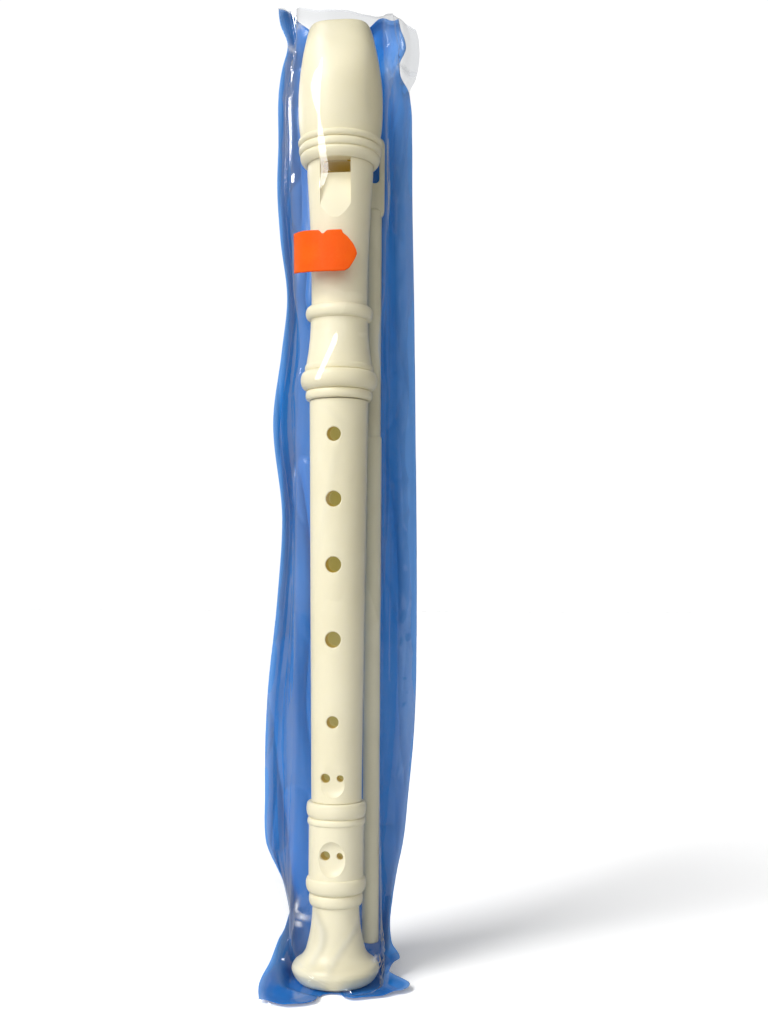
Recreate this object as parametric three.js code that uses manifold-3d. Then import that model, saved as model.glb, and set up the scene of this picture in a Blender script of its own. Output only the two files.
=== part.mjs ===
// A descant recorder in three joints with its cleaning rod, in a pouch of two welded films.
// Millimetres, +Z up. The origin is on the floor under the recorder's axis, and the pouch faces -Y.
import * as THREE from "three";
import { mergeVertices } from "three/addons/utils/BufferGeometryUtils.js";
import Module from "manifold-3d";

const wasm = await Module();
wasm.setup();

// Facets
const ROUND_SEGMENTS = 32;
const HOLE_SEGMENTS = 16;
const SCOOP_SEGMENTS = 72;
const CURVE_STEPS = 5;
const WELD = 1e-4;

// Clearances
const FIT = 0.15; // radial play of a tenon in its socket and of the block in its bore
const SEAT = 0.3; // gap between two faces that rest on each other
const POUCH_PLAY = 0.5; // room between the widest ring and the front film
const OVERCUT = 1; // how far a cutter runs past the face that it opens

// Foot joint, from its open end upwards
const RIM_RADIUS = 15.2;
const RIM_ROUND = 2.5; // rounding of the lower edge
const RIM_WIDEST = 4.1; // height of the widest place
const RIM_HEIGHT = 8.2; // where the round of the rim turns into the flare
const FLARE_RADIUS = 13.3; // radius at that turn
const FLARE_SLOPE = 0.62; // rise over the way inwards at that turn
const FLARE_TURN = 0.6; // how far outside the neck the flare bends upwards
const FLARE_HEIGHT = 3.8;
const NECK_BASE_RADIUS = 10.1;
const NECK_HEIGHT = 14.6;
const NECK_RADIUS = 8.1;
const NECK_RING_HEIGHT = 4.4;
const NECK_RING_RADIUS = 9.4;
const NECK_BEAD_HEIGHT = 5.5;
const NECK_BEAD_RADIUS = 10.45;
const FOOT_TUBE_HEIGHT = 18.3;
const FOOT_TUBE_RADIUS = 9.55;
const FOOT_RING_HEIGHT = 2.4;
const FOOT_RING_RADIUS = 10.05;
const FOOT_BEAD_HEIGHT = 5.4;
const FOOT_BEAD_RADIUS = 10.4;
const FOOT_BORE_RADIUS = 4.9;
const BELL_MOUTH_RADIUS = 11.4;
const BELL_MOUTH_DEPTH = 14;
const BEAD_GROOVE = 0.9; // how far the groove beside a ring lies below its crest

// Middle joint, between its two shoulders
const BODY_LENGTH = 138.3;
const BODY_LOW_RADIUS = 8.75;
const BODY_TOP_RADIUS = 10.15;
const BODY_BORE_LOW_RADIUS = 4.9;
const BODY_BORE_TOP_RADIUS = 5.8;
const LOW_TENON_RADIUS = 6.9;
const LOW_TENON_LENGTH = 13.5;
const TOP_TENON_RADIUS = 8.2;
const TOP_TENON_LENGTH = 22;
const TENON_CHAMFER = 0.5;
const TENON_GROOVE_WIDTH = 1.4;
const TENON_GROOVE_DEPTH = 0.4;
const TENON_GROOVES = [0.35, 0.65]; // middles of the grooves, as shares of the tenon's length

// Finger holes of the middle joint: height above its lower shoulder and diameter
const FINGER_HOLES = [[126.1, 4.8], [104, 5.3], [81.6, 5.4], [56, 5.4], [27.8, 4.1]];
const THUMB_HOLE = [133.5, 5.3];

// Double holes, each pair in a shallow round dish
const PAIR_SPACING = 5.1;
const PAIR_LARGE = 3.3;
const PAIR_SMALL = 2.5;
const DISH_RADIUS = 5.6;
const DISH_DEPTH = 1.4;
const DISH_SLOPE = 0.7; // radius that the dish loses on its way down
const BODY_PAIR_HEIGHT = 8.5; // above the lower shoulder
const FOOT_PAIR_HEIGHT = 44.8; // above the foot's open end

// Head joint, from its lower end upwards
const HEAD_RING_HEIGHT = 3.3;
const HEAD_RING_RADIUS = 11.6;
const HEAD_BEAD_HEIGHT = 6.6;
const HEAD_BEAD_RADIUS = 13.3;
const HEAD_LIP_HEIGHT = 2.2;
const HEAD_LIP_RADIUS = 11.9;
const BARREL_HEIGHT = 15.6;
const BARREL_TOP_RADIUS = 9.95;
const BARREL_BEAD_HEIGHT = 4.8;
const BARREL_BEAD_RADIUS = 11.7;
const TAPER_HEIGHT = 45.5;
const TAPER_LOW_RADIUS = 9.7;
const CAP_SEAT_RADIUS = 11.4;
const CAP_SEAT_HEIGHT = 18;
const HEAD_BORE_RADIUS = 6;

// Mouthpiece cap on the head joint's seat
const SKIRT_STEP = 3.3; // bare seat left under the cap, where the window lies
const SKIRT_RADIUS = 12.3;
const BAND_HEIGHT = 3.6;
const BAND_EDGE = 0.8; // share of the band's height at which its upper edge begins
const BAND_RADIUS = 13.9;
const LOW_RING_HEIGHT = 2.9;
const LOW_RING_RADIUS = 14.4;
const TOP_RING_HEIGHT = 2.4;
const TOP_RING_RADIUS = 14.65;
const BULB_FOOT_RADIUS = 13.7;
const BULB_RADIUS = 14.65;
const BULB_RISE = 13;
const BEAK_HEIGHT = 23; // from the bulb's widest place to the shoulder of the tip
const BEAK_LEAN = 0.25; // how far the beak's sides draw in, over the rise, at the shoulder
const CURVE_TURN = 0.3; // share of a curve's height over which it keeps its first direction
const SHOULDER_RADIUS = 11.2;
const TIP_HEIGHT = 3.2;
const TIP_RADIUS = 9.2;
const TIP_FLATNESS = 0.18; // share of its width by which the tip is thinner than round
const TIP_SQUARENESS = 3.2; // exponent of the tip's outline, where 2 is round
const SCOOP_RADIUS = 45;
const SCOOP_HEIGHT = 30;
const BEAK_BACK = 0.5; // where the scoop meets the tip, behind the axis

// Windway, window and labium
const WINDWAY_WIDTH = 10.6;
const WINDWAY_FLOOR = 5; // distance in front of the axis
const WINDWAY_HEIGHT = 1.2;
const WINDOW_HEIGHT = 4.2;
const WINDOW_COVER = 0.4; // part of the window that lies under the cap
const LABIUM_THICKNESS = 0.4;
const RAMP_LENGTH = 20.7; // from the labium's edge to where the ramp would reach the cap's seat

// Cleaning rod
const ROD_RADIUS = 3;
const ROD_THIN_RADIUS = 2.6;
const ROD_STEP_HEIGHT = 181;
const ROD_SHANK_LENGTH = 262;
const ROD_ROUND = 0.8;
const PADDLE_WIDTH = 7;
const PADDLE_THICKNESS = 2.6;
const PADDLE_LENGTH = 30;
const PADDLE_LAP = 3; // how far the paddle runs down into the shank
const EYE_WIDTH = 3.2;
const EYE_LENGTH = 15;
const ROD_SIDE = 12.4; // rod's place to the right of the recorder's axis
const ROD_LIFT = 9.8; // rod's end above the pouch floor

// Pouch
const FILM = 0.4;
const WELD_WIDTH = 3;
const POUCH_HEADROOM = 13.5; // back film above the recorder's tip
const FRONT_DIP = 11; // how far the front film's top edge sags where it bulges over the beak
const RIGHT_DROP = 4; // top right corner of the films below the left one
const SHEET_ROWS = 22;
const FLOOR_ROWS = 5;
const SHEET_COLUMNS = 12;
// Film edges: share of the pouch's height, and the distance past the recorder's or the rod's side
const LEFT_EDGE = [[0, 8], [0.04, 2.7], [0.14, 9.7], [0.25, 9.6], [0.46, 4.2], [0.58, 7.7],
  [0.69, 2.9], [0.83, 7], [0.88, 5.3], [0.92, 6.3], [0.96, 4.5], [1, 7.2]];
const RIGHT_EDGE = [[0, 6], [0.018, 7.6], [0.045, 4.4], [0.16, 11], [0.35, 13.4], [0.6, 12.3],
  [0.9, 10.4], [0.937, 5.9], [0.965, 7.7], [1, 1.5]];
const FRONT_TAB = [[0.9, 10.4], [0.918, 9.2], [0.935, 11.8], [0.96, 12.6], [1, 10.5]];
// Front edge of the pouch floor: share of its width from the left, and the reach past the front film
const FLOOR_EDGE = [[0, 2], [0.06, 7.2], [0.2, 8], [0.33, 6.2], [0.41, 2], [0.46, -2.6], [0.53, -2.6],
  [0.58, 2.4], [0.7, 2], [0.86, -0.8], [1, -7]];
const FLOOR_LEFT_MARGIN = 10.2;
const FLOOR_RIGHT_MARGIN = 9.6;

// Price label on the front film
const LABEL_LENGTH = 26;
const LABEL_HEIGHT = 13.5;
const LABEL_THICKNESS = 0.3;
const LABEL_SHIFT = -7.2; // label's middle along the film, from the front line
const LABEL_RISE = 48; // label's middle above the head joint's lower end
const LABEL_POINT = 5.5; // length of the rounded end
const LABEL_END_SHARE = 0.3; // height left at the rounded end
const LABEL_COLUMNS = 14;

// How far the recorder lies turned about its axis in the pouch
const RECORDER_TURN = THREE.MathUtils.degToRad(-10);

const FOOT_HEIGHT = RIM_HEIGHT + FLARE_HEIGHT + NECK_HEIGHT + NECK_RING_HEIGHT + NECK_BEAD_HEIGHT
  + FOOT_TUBE_HEIGHT + FOOT_RING_HEIGHT + FOOT_BEAD_HEIGHT;
const BODY_Z = FOOT_HEIGHT + SEAT;
const HEAD_Z = BODY_Z + BODY_LENGTH + SEAT;
const TAPER_Z = HEAD_RING_HEIGHT + HEAD_BEAD_HEIGHT + HEAD_LIP_HEIGHT + BARREL_HEIGHT + BARREL_BEAD_HEIGHT;
const CAP_SEAT_Z = TAPER_Z + TAPER_HEIGHT;
const HEAD_TUBE_HEIGHT = CAP_SEAT_Z + CAP_SEAT_HEIGHT;
const CAP_Z = CAP_SEAT_Z + SKIRT_STEP;
const BULB_Z = BAND_HEIGHT + LOW_RING_HEIGHT + TOP_RING_HEIGHT;
const CAP_HEIGHT = BULB_Z + BULB_RISE + BEAK_HEIGHT + TIP_HEIGHT;
const WINDOW_TOP = CAP_Z + WINDOW_COVER;
const LABIUM_Z = WINDOW_TOP - WINDOW_HEIGHT;
const LABIUM_DEPTH = HEAD_BORE_RADIUS + LABIUM_THICKNESS;
const RECORDER_HEIGHT = HEAD_Z + CAP_Z + CAP_HEIGHT;
const WIDEST_RADIUS = Math.max(RIM_RADIUS, NECK_BEAD_RADIUS, FOOT_BEAD_RADIUS, HEAD_BEAD_RADIUS,
  BARREL_BEAD_RADIUS, BAND_RADIUS, LOW_RING_RADIUS, TOP_RING_RADIUS, BULB_RADIUS);

const BASE_Z = FILM + SEAT;
const CHANNEL_RADIUS = WIDEST_RADIUS + POUCH_PLAY;
// The rod lies as close behind the recorder as lets the widest ring pass its shank and its paddle.
const PASSING_RADIUS = WIDEST_RADIUS + SEAT;
const shankY = Math.sqrt((PASSING_RADIUS + ROD_RADIUS) ** 2 - ROD_SIDE ** 2);
const paddleY = Math.sqrt(PASSING_RADIUS ** 2 - (ROD_SIDE - PADDLE_WIDTH / 2) ** 2) + PADDLE_THICKNESS / 2;
const ROD_Y = Math.max(shankY, paddleY);
const BACK_Y = ROD_Y + ROD_RADIUS + SEAT;
const POUCH_HEIGHT = BASE_Z + RECORDER_HEIGHT + POUCH_HEADROOM;

function solid(geometry) {
  const bare = new THREE.BufferGeometry();
  bare.setAttribute("position", geometry.getAttribute("position"));
  bare.setIndex(geometry.getIndex());
  const merged = mergeVertices(bare, WELD);
  const index = merged.getIndex().array;
  const triVerts = [];
  for (let i = 0; i < index.length; i += 3) {
    const [a, b, c] = index.slice(i, i + 3);
    if (a !== b && b !== c && c !== a) triVerts.push(a, b, c);
  }
  return new wasm.Manifold(new wasm.Mesh({
    numProp: 3,
    vertProperties: new Float32Array(merged.getAttribute("position").array),
    triVerts: new Uint32Array(triVerts),
  }));
}

function named(name, body, [colour, roughness]) {
  const mesh = body.getMesh();
  const geometry = new THREE.BufferGeometry();
  geometry.setAttribute("position", new THREE.BufferAttribute(mesh.vertProperties, 3));
  geometry.setIndex(new THREE.BufferAttribute(mesh.triVerts, 1));
  geometry.computeVertexNormals();
  const material = new THREE.MeshStandardMaterial({ color: colour, roughness, metalness: 0 });
  const piece = new THREE.Mesh(geometry, material);
  piece.name = name;
  return piece;
}

// A profile of radius against height, run upwards on the outside, turned about Z.
function turned(path) {
  const geometry = new THREE.LatheGeometry(path.getPoints(CURVE_STEPS), ROUND_SEGMENTS);
  return solid(geometry.rotateX(Math.PI / 2));
}

function roundBar(radius, low, high) {
  const path = new THREE.Path();
  path.moveTo(0, low);
  path.lineTo(radius, low);
  path.lineTo(radius, high);
  path.lineTo(0, high);
  return turned(path);
}

function block(width, front, back, low, high) {
  const box = new THREE.BoxGeometry(width, front - back, high - low);
  return solid(box.translate(0, -(front + back) / 2, (low + high) / 2));
}

// Carries a profile over a rounded ring whose crest stands at the given radius.
function bead(path, height, crest, endRadius) {
  const { x, y } = path.currentPoint;
  const pull = (8 * crest - x - endRadius) / 6;
  path.bezierCurveTo(pull, y, pull, y + height, endRadius, y + height);
}

// A drill from the front, its tip inside the bore. Negative depths drill from the back.
function drill(x, z, diameter, tip, outside) {
  const length = Math.abs(outside - tip);
  const bit = new THREE.CylinderGeometry(diameter / 2, diameter / 2, length, HOLE_SEGMENTS);
  return solid(bit.translate(x, -(outside + tip) / 2, z));
}

// Two holes side by side in a dish sunk into a tube of the given radius.
function doubleHole(z, tubeRadius) {
  const floor = tubeRadius - DISH_DEPTH;
  const grade = DISH_SLOPE / DISH_DEPTH;
  const depth = DISH_DEPTH + OVERCUT;
  const wide = DISH_RADIUS + OVERCUT * grade;
  const cone = new THREE.CylinderGeometry(DISH_RADIUS - DISH_SLOPE, wide, depth, 2 * HOLE_SEGMENTS);
  const outside = tubeRadius + OVERCUT;
  return solid(cone.translate(0, -(floor + depth / 2), z))
    .add(drill(-PAIR_SPACING / 2, z, PAIR_LARGE, 0, outside))
    .add(drill(PAIR_SPACING / 2, z, PAIR_SMALL, 0, outside));
}

function footJoint() {
  const socketRadius = LOW_TENON_RADIUS + FIT;
  const socketFloor = BODY_Z - LOW_TENON_LENGTH - SEAT;
  const flareTop = RIM_HEIGHT + FLARE_HEIGHT;
  const neckTop = flareTop + NECK_HEIGHT;
  const path = new THREE.Path();
  path.moveTo(BELL_MOUTH_RADIUS, 0);
  path.lineTo(RIM_RADIUS - RIM_ROUND, 0);
  path.quadraticCurveTo(RIM_RADIUS, 0, RIM_RADIUS, RIM_WIDEST);
  const rimBend = RIM_HEIGHT - FLARE_SLOPE * (RIM_RADIUS - FLARE_RADIUS);
  path.quadraticCurveTo(RIM_RADIUS, rimBend, FLARE_RADIUS, RIM_HEIGHT);
  const bendRadius = NECK_BASE_RADIUS + FLARE_TURN;
  const flareBend = RIM_HEIGHT + FLARE_SLOPE * (FLARE_RADIUS - bendRadius);
  path.quadraticCurveTo(bendRadius, flareBend, NECK_BASE_RADIUS, flareTop);
  path.quadraticCurveTo(NECK_RADIUS, flareTop + NECK_HEIGHT / 2, NECK_RADIUS, neckTop);
  bead(path, NECK_RING_HEIGHT, NECK_RING_RADIUS, NECK_RING_RADIUS - BEAD_GROOVE);
  bead(path, NECK_BEAD_HEIGHT, NECK_BEAD_RADIUS, FOOT_TUBE_RADIUS);
  path.lineTo(FOOT_TUBE_RADIUS, path.currentPoint.y + FOOT_TUBE_HEIGHT);
  bead(path, FOOT_RING_HEIGHT, FOOT_RING_RADIUS, FOOT_RING_RADIUS - BEAD_GROOVE);
  bead(path, FOOT_BEAD_HEIGHT, FOOT_BEAD_RADIUS, FOOT_BEAD_RADIUS - BEAD_GROOVE);
  path.lineTo(socketRadius, FOOT_HEIGHT);
  path.lineTo(socketRadius, socketFloor);
  path.lineTo(FOOT_BORE_RADIUS, socketFloor);
  path.lineTo(FOOT_BORE_RADIUS, BELL_MOUTH_DEPTH);
  path.quadraticCurveTo(FOOT_BORE_RADIUS, 0, BELL_MOUTH_RADIUS, 0);
  return turned(path).subtract(doubleHole(FOOT_PAIR_HEIGHT, FOOT_TUBE_RADIUS));
}

// Carries a profile along a grooved tenon, up or down, to its chamfered end.
function tenon(path, radius, from, length) {
  const way = Math.sign(length);
  const size = Math.abs(length);
  const marks = [[radius, 0]];
  for (const share of TENON_GROOVES) {
    const start = share * size - TENON_GROOVE_WIDTH / 2;
    const end = start + TENON_GROOVE_WIDTH;
    marks.push([radius, start], [radius - TENON_GROOVE_DEPTH, start]);
    marks.push([radius - TENON_GROOVE_DEPTH, end], [radius, end]);
  }
  marks.push([radius, size - TENON_CHAMFER], [radius - TENON_CHAMFER, size]);
  if (way < 0) marks.reverse();
  for (const [r, distance] of marks) path.lineTo(r, from + way * distance);
}

function bodyRadius(z) {
  return THREE.MathUtils.lerp(BODY_LOW_RADIUS, BODY_TOP_RADIUS, z / BODY_LENGTH);
}

function middleJoint() {
  const path = new THREE.Path();
  path.moveTo(BODY_BORE_LOW_RADIUS, -LOW_TENON_LENGTH);
  tenon(path, LOW_TENON_RADIUS, 0, -LOW_TENON_LENGTH);
  path.lineTo(BODY_LOW_RADIUS, 0);
  path.lineTo(BODY_TOP_RADIUS, BODY_LENGTH);
  tenon(path, TOP_TENON_RADIUS, BODY_LENGTH, TOP_TENON_LENGTH);
  path.lineTo(BODY_BORE_TOP_RADIUS, BODY_LENGTH + TOP_TENON_LENGTH);
  path.lineTo(BODY_BORE_LOW_RADIUS, -LOW_TENON_LENGTH);
  let body = turned(path).subtract(doubleHole(BODY_PAIR_HEIGHT, bodyRadius(BODY_PAIR_HEIGHT)));
  for (const [z, diameter] of FINGER_HOLES) {
    body = body.subtract(drill(0, z, diameter, 0, bodyRadius(z) + OVERCUT));
  }
  const [thumbZ, thumbDiameter] = THUMB_HOLE;
  body = body.subtract(drill(0, thumbZ, thumbDiameter, 0, -bodyRadius(thumbZ) - OVERCUT));
  return body.translate([0, 0, BODY_Z]);
}

// The flat ramp that leads from the labium's edge out to the tube's surface.
function rampCut() {
  const outside = CAP_SEAT_RADIUS + OVERCUT;
  const foot = LABIUM_Z - RAMP_LENGTH;
  const drop = (CAP_SEAT_RADIUS - LABIUM_DEPTH) / RAMP_LENGTH;
  const shape = new THREE.Shape();
  shape.moveTo(LABIUM_DEPTH, LABIUM_Z);
  shape.lineTo(outside, LABIUM_Z);
  shape.lineTo(outside, foot - OVERCUT / drop);
  const wedge = new THREE.ExtrudeGeometry(shape, { depth: WINDWAY_WIDTH, bevelEnabled: false });
  // The shape's x runs forwards, its y upwards, and the extrusion across the tube.
  wedge.applyMatrix4(new THREE.Matrix4().makeBasis(
    new THREE.Vector3(0, -1, 0), new THREE.Vector3(0, 0, 1), new THREE.Vector3(-1, 0, 0)));
  return solid(wedge.translate(WINDWAY_WIDTH / 2, 0, 0));
}

function windwayCut(low, high) {
  return block(WINDWAY_WIDTH, WINDWAY_FLOOR + WINDWAY_HEIGHT, WINDWAY_FLOOR, low, high);
}

function headJoint() {
  const socketRadius = TOP_TENON_RADIUS + FIT;
  const socketTop = TOP_TENON_LENGTH + SEAT;
  const path = new THREE.Path();
  path.moveTo(socketRadius, 0);
  path.lineTo(HEAD_RING_RADIUS - BEAD_GROOVE, 0);
  bead(path, HEAD_RING_HEIGHT, HEAD_RING_RADIUS, HEAD_RING_RADIUS - BEAD_GROOVE);
  bead(path, HEAD_BEAD_HEIGHT, HEAD_BEAD_RADIUS, HEAD_LIP_RADIUS - BEAD_GROOVE / 2);
  bead(path, HEAD_LIP_HEIGHT, HEAD_LIP_RADIUS, HEAD_LIP_RADIUS - BEAD_GROOVE / 2);
  const barrelTop = path.currentPoint.y + BARREL_HEIGHT;
  path.quadraticCurveTo(BARREL_TOP_RADIUS, barrelTop - BARREL_HEIGHT / 2, BARREL_TOP_RADIUS, barrelTop);
  bead(path, BARREL_BEAD_HEIGHT, BARREL_BEAD_RADIUS, TAPER_LOW_RADIUS);
  path.quadraticCurveTo(TAPER_LOW_RADIUS, CAP_SEAT_Z - TAPER_HEIGHT / 2, CAP_SEAT_RADIUS, CAP_SEAT_Z);
  path.lineTo(CAP_SEAT_RADIUS, HEAD_TUBE_HEIGHT);
  path.lineTo(HEAD_BORE_RADIUS, HEAD_TUBE_HEIGHT);
  path.lineTo(HEAD_BORE_RADIUS, socketTop);
  path.lineTo(socketRadius, socketTop);
  path.lineTo(socketRadius, 0);
  const windowFloor = Math.sqrt(HEAD_BORE_RADIUS ** 2 - (WINDWAY_WIDTH / 2) ** 2);
  const outside = CAP_SEAT_RADIUS + OVERCUT;
  return turned(path)
    .subtract(block(WINDWAY_WIDTH, outside, windowFloor, LABIUM_Z, WINDOW_TOP))
    .subtract(rampCut())
    .subtract(windwayCut(WINDOW_TOP - OVERCUT, HEAD_TUBE_HEIGHT + OVERCUT))
    .translate([0, 0, HEAD_Z]);
}

// The hollow under the beak, a wide round cut across it from the tip down to the bulb's back.
function scoopCut() {
  const tip = new THREE.Vector2(BEAK_BACK, CAP_HEIGHT);
  const foot = new THREE.Vector2(BULB_RADIUS, CAP_HEIGHT - SCOOP_HEIGHT);
  const middle = tip.clone().add(foot).divideScalar(2);
  const chord = foot.clone().sub(tip);
  const rise = Math.sqrt(SCOOP_RADIUS ** 2 - chord.lengthSq() / 4);
  const away = new THREE.Vector2(-chord.y, chord.x).normalize();
  const centre = middle.addScaledVector(away, rise);
  const width = 2 * (BULB_RADIUS + OVERCUT);
  const roller = new THREE.CylinderGeometry(SCOOP_RADIUS, SCOOP_RADIUS, width, SCOOP_SEGMENTS);
  return solid(roller.rotateZ(Math.PI / 2).translate(0, centre.x, centre.y));
}

// Closed skin over rings of points that are listed from the bottom up.
function lofted(rings) {
  const count = rings[0].length;
  const middleOf = (ring) => ring.reduce((sum, p) => sum.add(p), new THREE.Vector3()).divideScalar(count);
  const points = rings.flat();
  const low = points.push(middleOf(rings[0])) - 1;
  const high = points.push(middleOf(rings.at(-1))) - 1;
  const last = (rings.length - 1) * count;
  const index = [];
  for (let i = 0; i < count; i += 1) {
    const next = (i + 1) % count;
    index.push(low, next, i, high, last + i, last + next);
    for (let base = 0; base < last; base += count) {
      index.push(base + i, base + next, base + count + next, base + i, base + count + next, base + count + i);
    }
  }
  return solid(new THREE.BufferGeometry().setFromPoints(points).setIndex(index));
}

// Rings of the cap: round up to the bulb's widest place, then thinner and squarer up to the tip.
function capRings() {
  const path = new THREE.Path();
  const bulbTop = BULB_Z + BULB_RISE;
  const shoulder = bulbTop + BEAK_HEIGHT;
  path.moveTo(SKIRT_RADIUS, 0);
  path.quadraticCurveTo(BAND_RADIUS, CURVE_TURN * BAND_HEIGHT, BAND_RADIUS, BAND_EDGE * BAND_HEIGHT);
  path.lineTo(BAND_RADIUS - BEAD_GROOVE / 2, BAND_HEIGHT);
  bead(path, LOW_RING_HEIGHT, LOW_RING_RADIUS, BAND_RADIUS - BEAD_GROOVE / 2);
  bead(path, TOP_RING_HEIGHT, TOP_RING_RADIUS, BULB_FOOT_RADIUS);
  path.quadraticCurveTo(BULB_RADIUS, BULB_Z + CURVE_TURN * BULB_RISE, BULB_RADIUS, bulbTop);
  const turn = CURVE_TURN * BEAK_HEIGHT;
  path.bezierCurveTo(BULB_RADIUS, bulbTop + turn, SHOULDER_RADIUS + BEAK_LEAN * turn, shoulder - turn,
    SHOULDER_RADIUS, shoulder);
  path.quadraticCurveTo(SHOULDER_RADIUS - BEAK_LEAN * TIP_HEIGHT, CAP_HEIGHT, TIP_RADIUS, CAP_HEIGHT);
  return path.getPoints(CURVE_STEPS).map(({ x: radius, y: z }) => {
    const share = THREE.MathUtils.smoothstep(z, bulbTop, CAP_HEIGHT);
    const power = 2 / THREE.MathUtils.lerp(2, TIP_SQUARENESS, share);
    const depth = radius * (1 - TIP_FLATNESS * share);
    return Array.from({ length: ROUND_SEGMENTS }, (_, i) => {
      const angle = (2 * Math.PI * i) / ROUND_SEGMENTS - Math.PI / 2;
      const across = Math.cos(angle);
      const along = Math.sin(angle);
      return new THREE.Vector3(
        radius * Math.sign(across) * Math.abs(across) ** power,
        depth * Math.sign(along) * Math.abs(along) ** power,
        z,
      );
    });
  });
}

function mouthpiece() {
  const seatTop = HEAD_TUBE_HEIGHT - CAP_Z + SEAT;
  return lofted(capRings())
    .subtract(roundBar(CAP_SEAT_RADIUS + FIT, -OVERCUT, seatTop))
    .subtract(roundBar(HEAD_BORE_RADIUS, seatTop - OVERCUT, CAP_HEIGHT + OVERCUT))
    .subtract(windwayCut(seatTop - OVERCUT, CAP_HEIGHT + OVERCUT))
    .subtract(scoopCut())
    .translate([0, 0, HEAD_Z + CAP_Z]);
}

function fippleBlock() {
  const low = WINDOW_TOP - CAP_Z;
  const front = HEAD_BORE_RADIUS + OVERCUT;
  return roundBar(HEAD_BORE_RADIUS - FIT, low, CAP_HEIGHT)
    .subtract(block(2 * front, front, WINDWAY_FLOOR, low - OVERCUT, CAP_HEIGHT + OVERCUT))
    .subtract(scoopCut())
    .translate([0, 0, HEAD_Z + CAP_Z]);
}

function slot(target, width, low, high) {
  const radius = width / 2;
  target.moveTo(radius, low + radius);
  target.lineTo(radius, high - radius);
  target.absarc(0, high - radius, radius, 0, Math.PI);
  target.lineTo(-radius, low + radius);
  target.absarc(0, low + radius, radius, Math.PI, 2 * Math.PI);
  return target;
}

function cleaningRod() {
  const path = new THREE.Path();
  path.moveTo(0, 0);
  path.lineTo(ROD_RADIUS - ROD_ROUND, 0);
  path.quadraticCurveTo(ROD_RADIUS, 0, ROD_RADIUS, ROD_ROUND);
  path.lineTo(ROD_RADIUS, ROD_STEP_HEIGHT);
  path.lineTo(ROD_THIN_RADIUS, ROD_STEP_HEIGHT + ROD_ROUND);
  path.lineTo(ROD_THIN_RADIUS, ROD_SHANK_LENGTH);
  path.lineTo(0, ROD_SHANK_LENGTH + ROD_THIN_RADIUS);
  const foot = ROD_SHANK_LENGTH - PADDLE_LAP;
  const top = foot + PADDLE_LENGTH;
  const wall = (PADDLE_WIDTH - EYE_WIDTH) / 2;
  const shape = slot(new THREE.Shape(), PADDLE_WIDTH, foot, top);
  shape.holes.push(slot(new THREE.Path(), EYE_WIDTH, top - wall - EYE_LENGTH, top - wall));
  const options = { depth: PADDLE_THICKNESS, bevelEnabled: false, curveSegments: CURVE_STEPS };
  const paddle = new THREE.ExtrudeGeometry(shape, options).translate(0, 0, -PADDLE_THICKNESS / 2);
  return turned(path).add(solid(paddle.rotateX(Math.PI / 2)))
    .translate([ROD_SIDE, ROD_Y, FILM + ROD_LIFT]);
}

// Value on a smooth run through [place, value] marks.
function along(marks, place) {
  const after = marks.findIndex(([mark]) => mark >= place);
  if (after === 0) return marks[0][1];
  if (after < 0) return marks.at(-1)[1];
  const [from, low] = marks[after - 1];
  const [to, high] = marks[after];
  return THREE.MathUtils.lerp(low, high, THREE.MathUtils.smoothstep(place, from, to));
}

const leftEdge = (z) => -CHANNEL_RADIUS - along(LEFT_EDGE, z / POUCH_HEIGHT);
const rightEdge = (z) => ROD_SIDE + ROD_RADIUS + along(RIGHT_EDGE, z / POUCH_HEIGHT);
const topEdge = (share) => POUCH_HEIGHT - RIGHT_DROP * share;

function frontRightEdge(z) {
  const share = z / POUCH_HEIGHT;
  return share < FRONT_TAB[0][0] ? rightEdge(z) : ROD_SIDE + ROD_RADIUS + along(FRONT_TAB, share);
}

// A film laid on rows of points and thickened towards the side from which they run anticlockwise.
function film(rows, thickness) {
  const count = rows[0].length;
  const size = rows.length * count;
  const clampRow = (v) => rows[Math.min(Math.max(v, 0), rows.length - 1)];
  const clampColumn = (row, u) => row[Math.min(Math.max(u, 0), count - 1)];
  const outer = rows.flatMap((row, v) => row.map((point, u) => {
    const across = clampColumn(row, u + 1).clone().sub(clampColumn(row, u - 1));
    const upwards = clampRow(v + 1)[u].clone().sub(clampRow(v - 1)[u]);
    return point.clone().addScaledVector(across.cross(upwards).normalize(), thickness);
  }));
  const index = [];
  const quad = (a, b, c, d) => index.push(a, b, c, a, c, d);
  for (let v = 0; v + 1 < rows.length; v += 1) {
    for (let u = 0; u + 1 < count; u += 1) {
      const a = v * count + u;
      quad(size + a, size + a + 1, size + a + count + 1, size + a + count);
      quad(a, a + count, a + count + 1, a + 1);
    }
    const left = v * count;
    const right = left + count - 1;
    quad(left, size + left, size + left + count, left + count);
    quad(right, right + count, size + right + count, size + right);
  }
  for (let u = 0; u + 1 < count; u += 1) {
    const top = size - count + u;
    quad(u, u + 1, size + u + 1, size + u);
    quad(top, size + top, size + top + 1, top + 1);
  }
  return solid(new THREE.BufferGeometry().setFromPoints(rows.flat().concat(outer)).setIndex(index));
}

function shares(count) {
  return Array.from({ length: count + 1 }, (_, i) => i / count);
}

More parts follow.
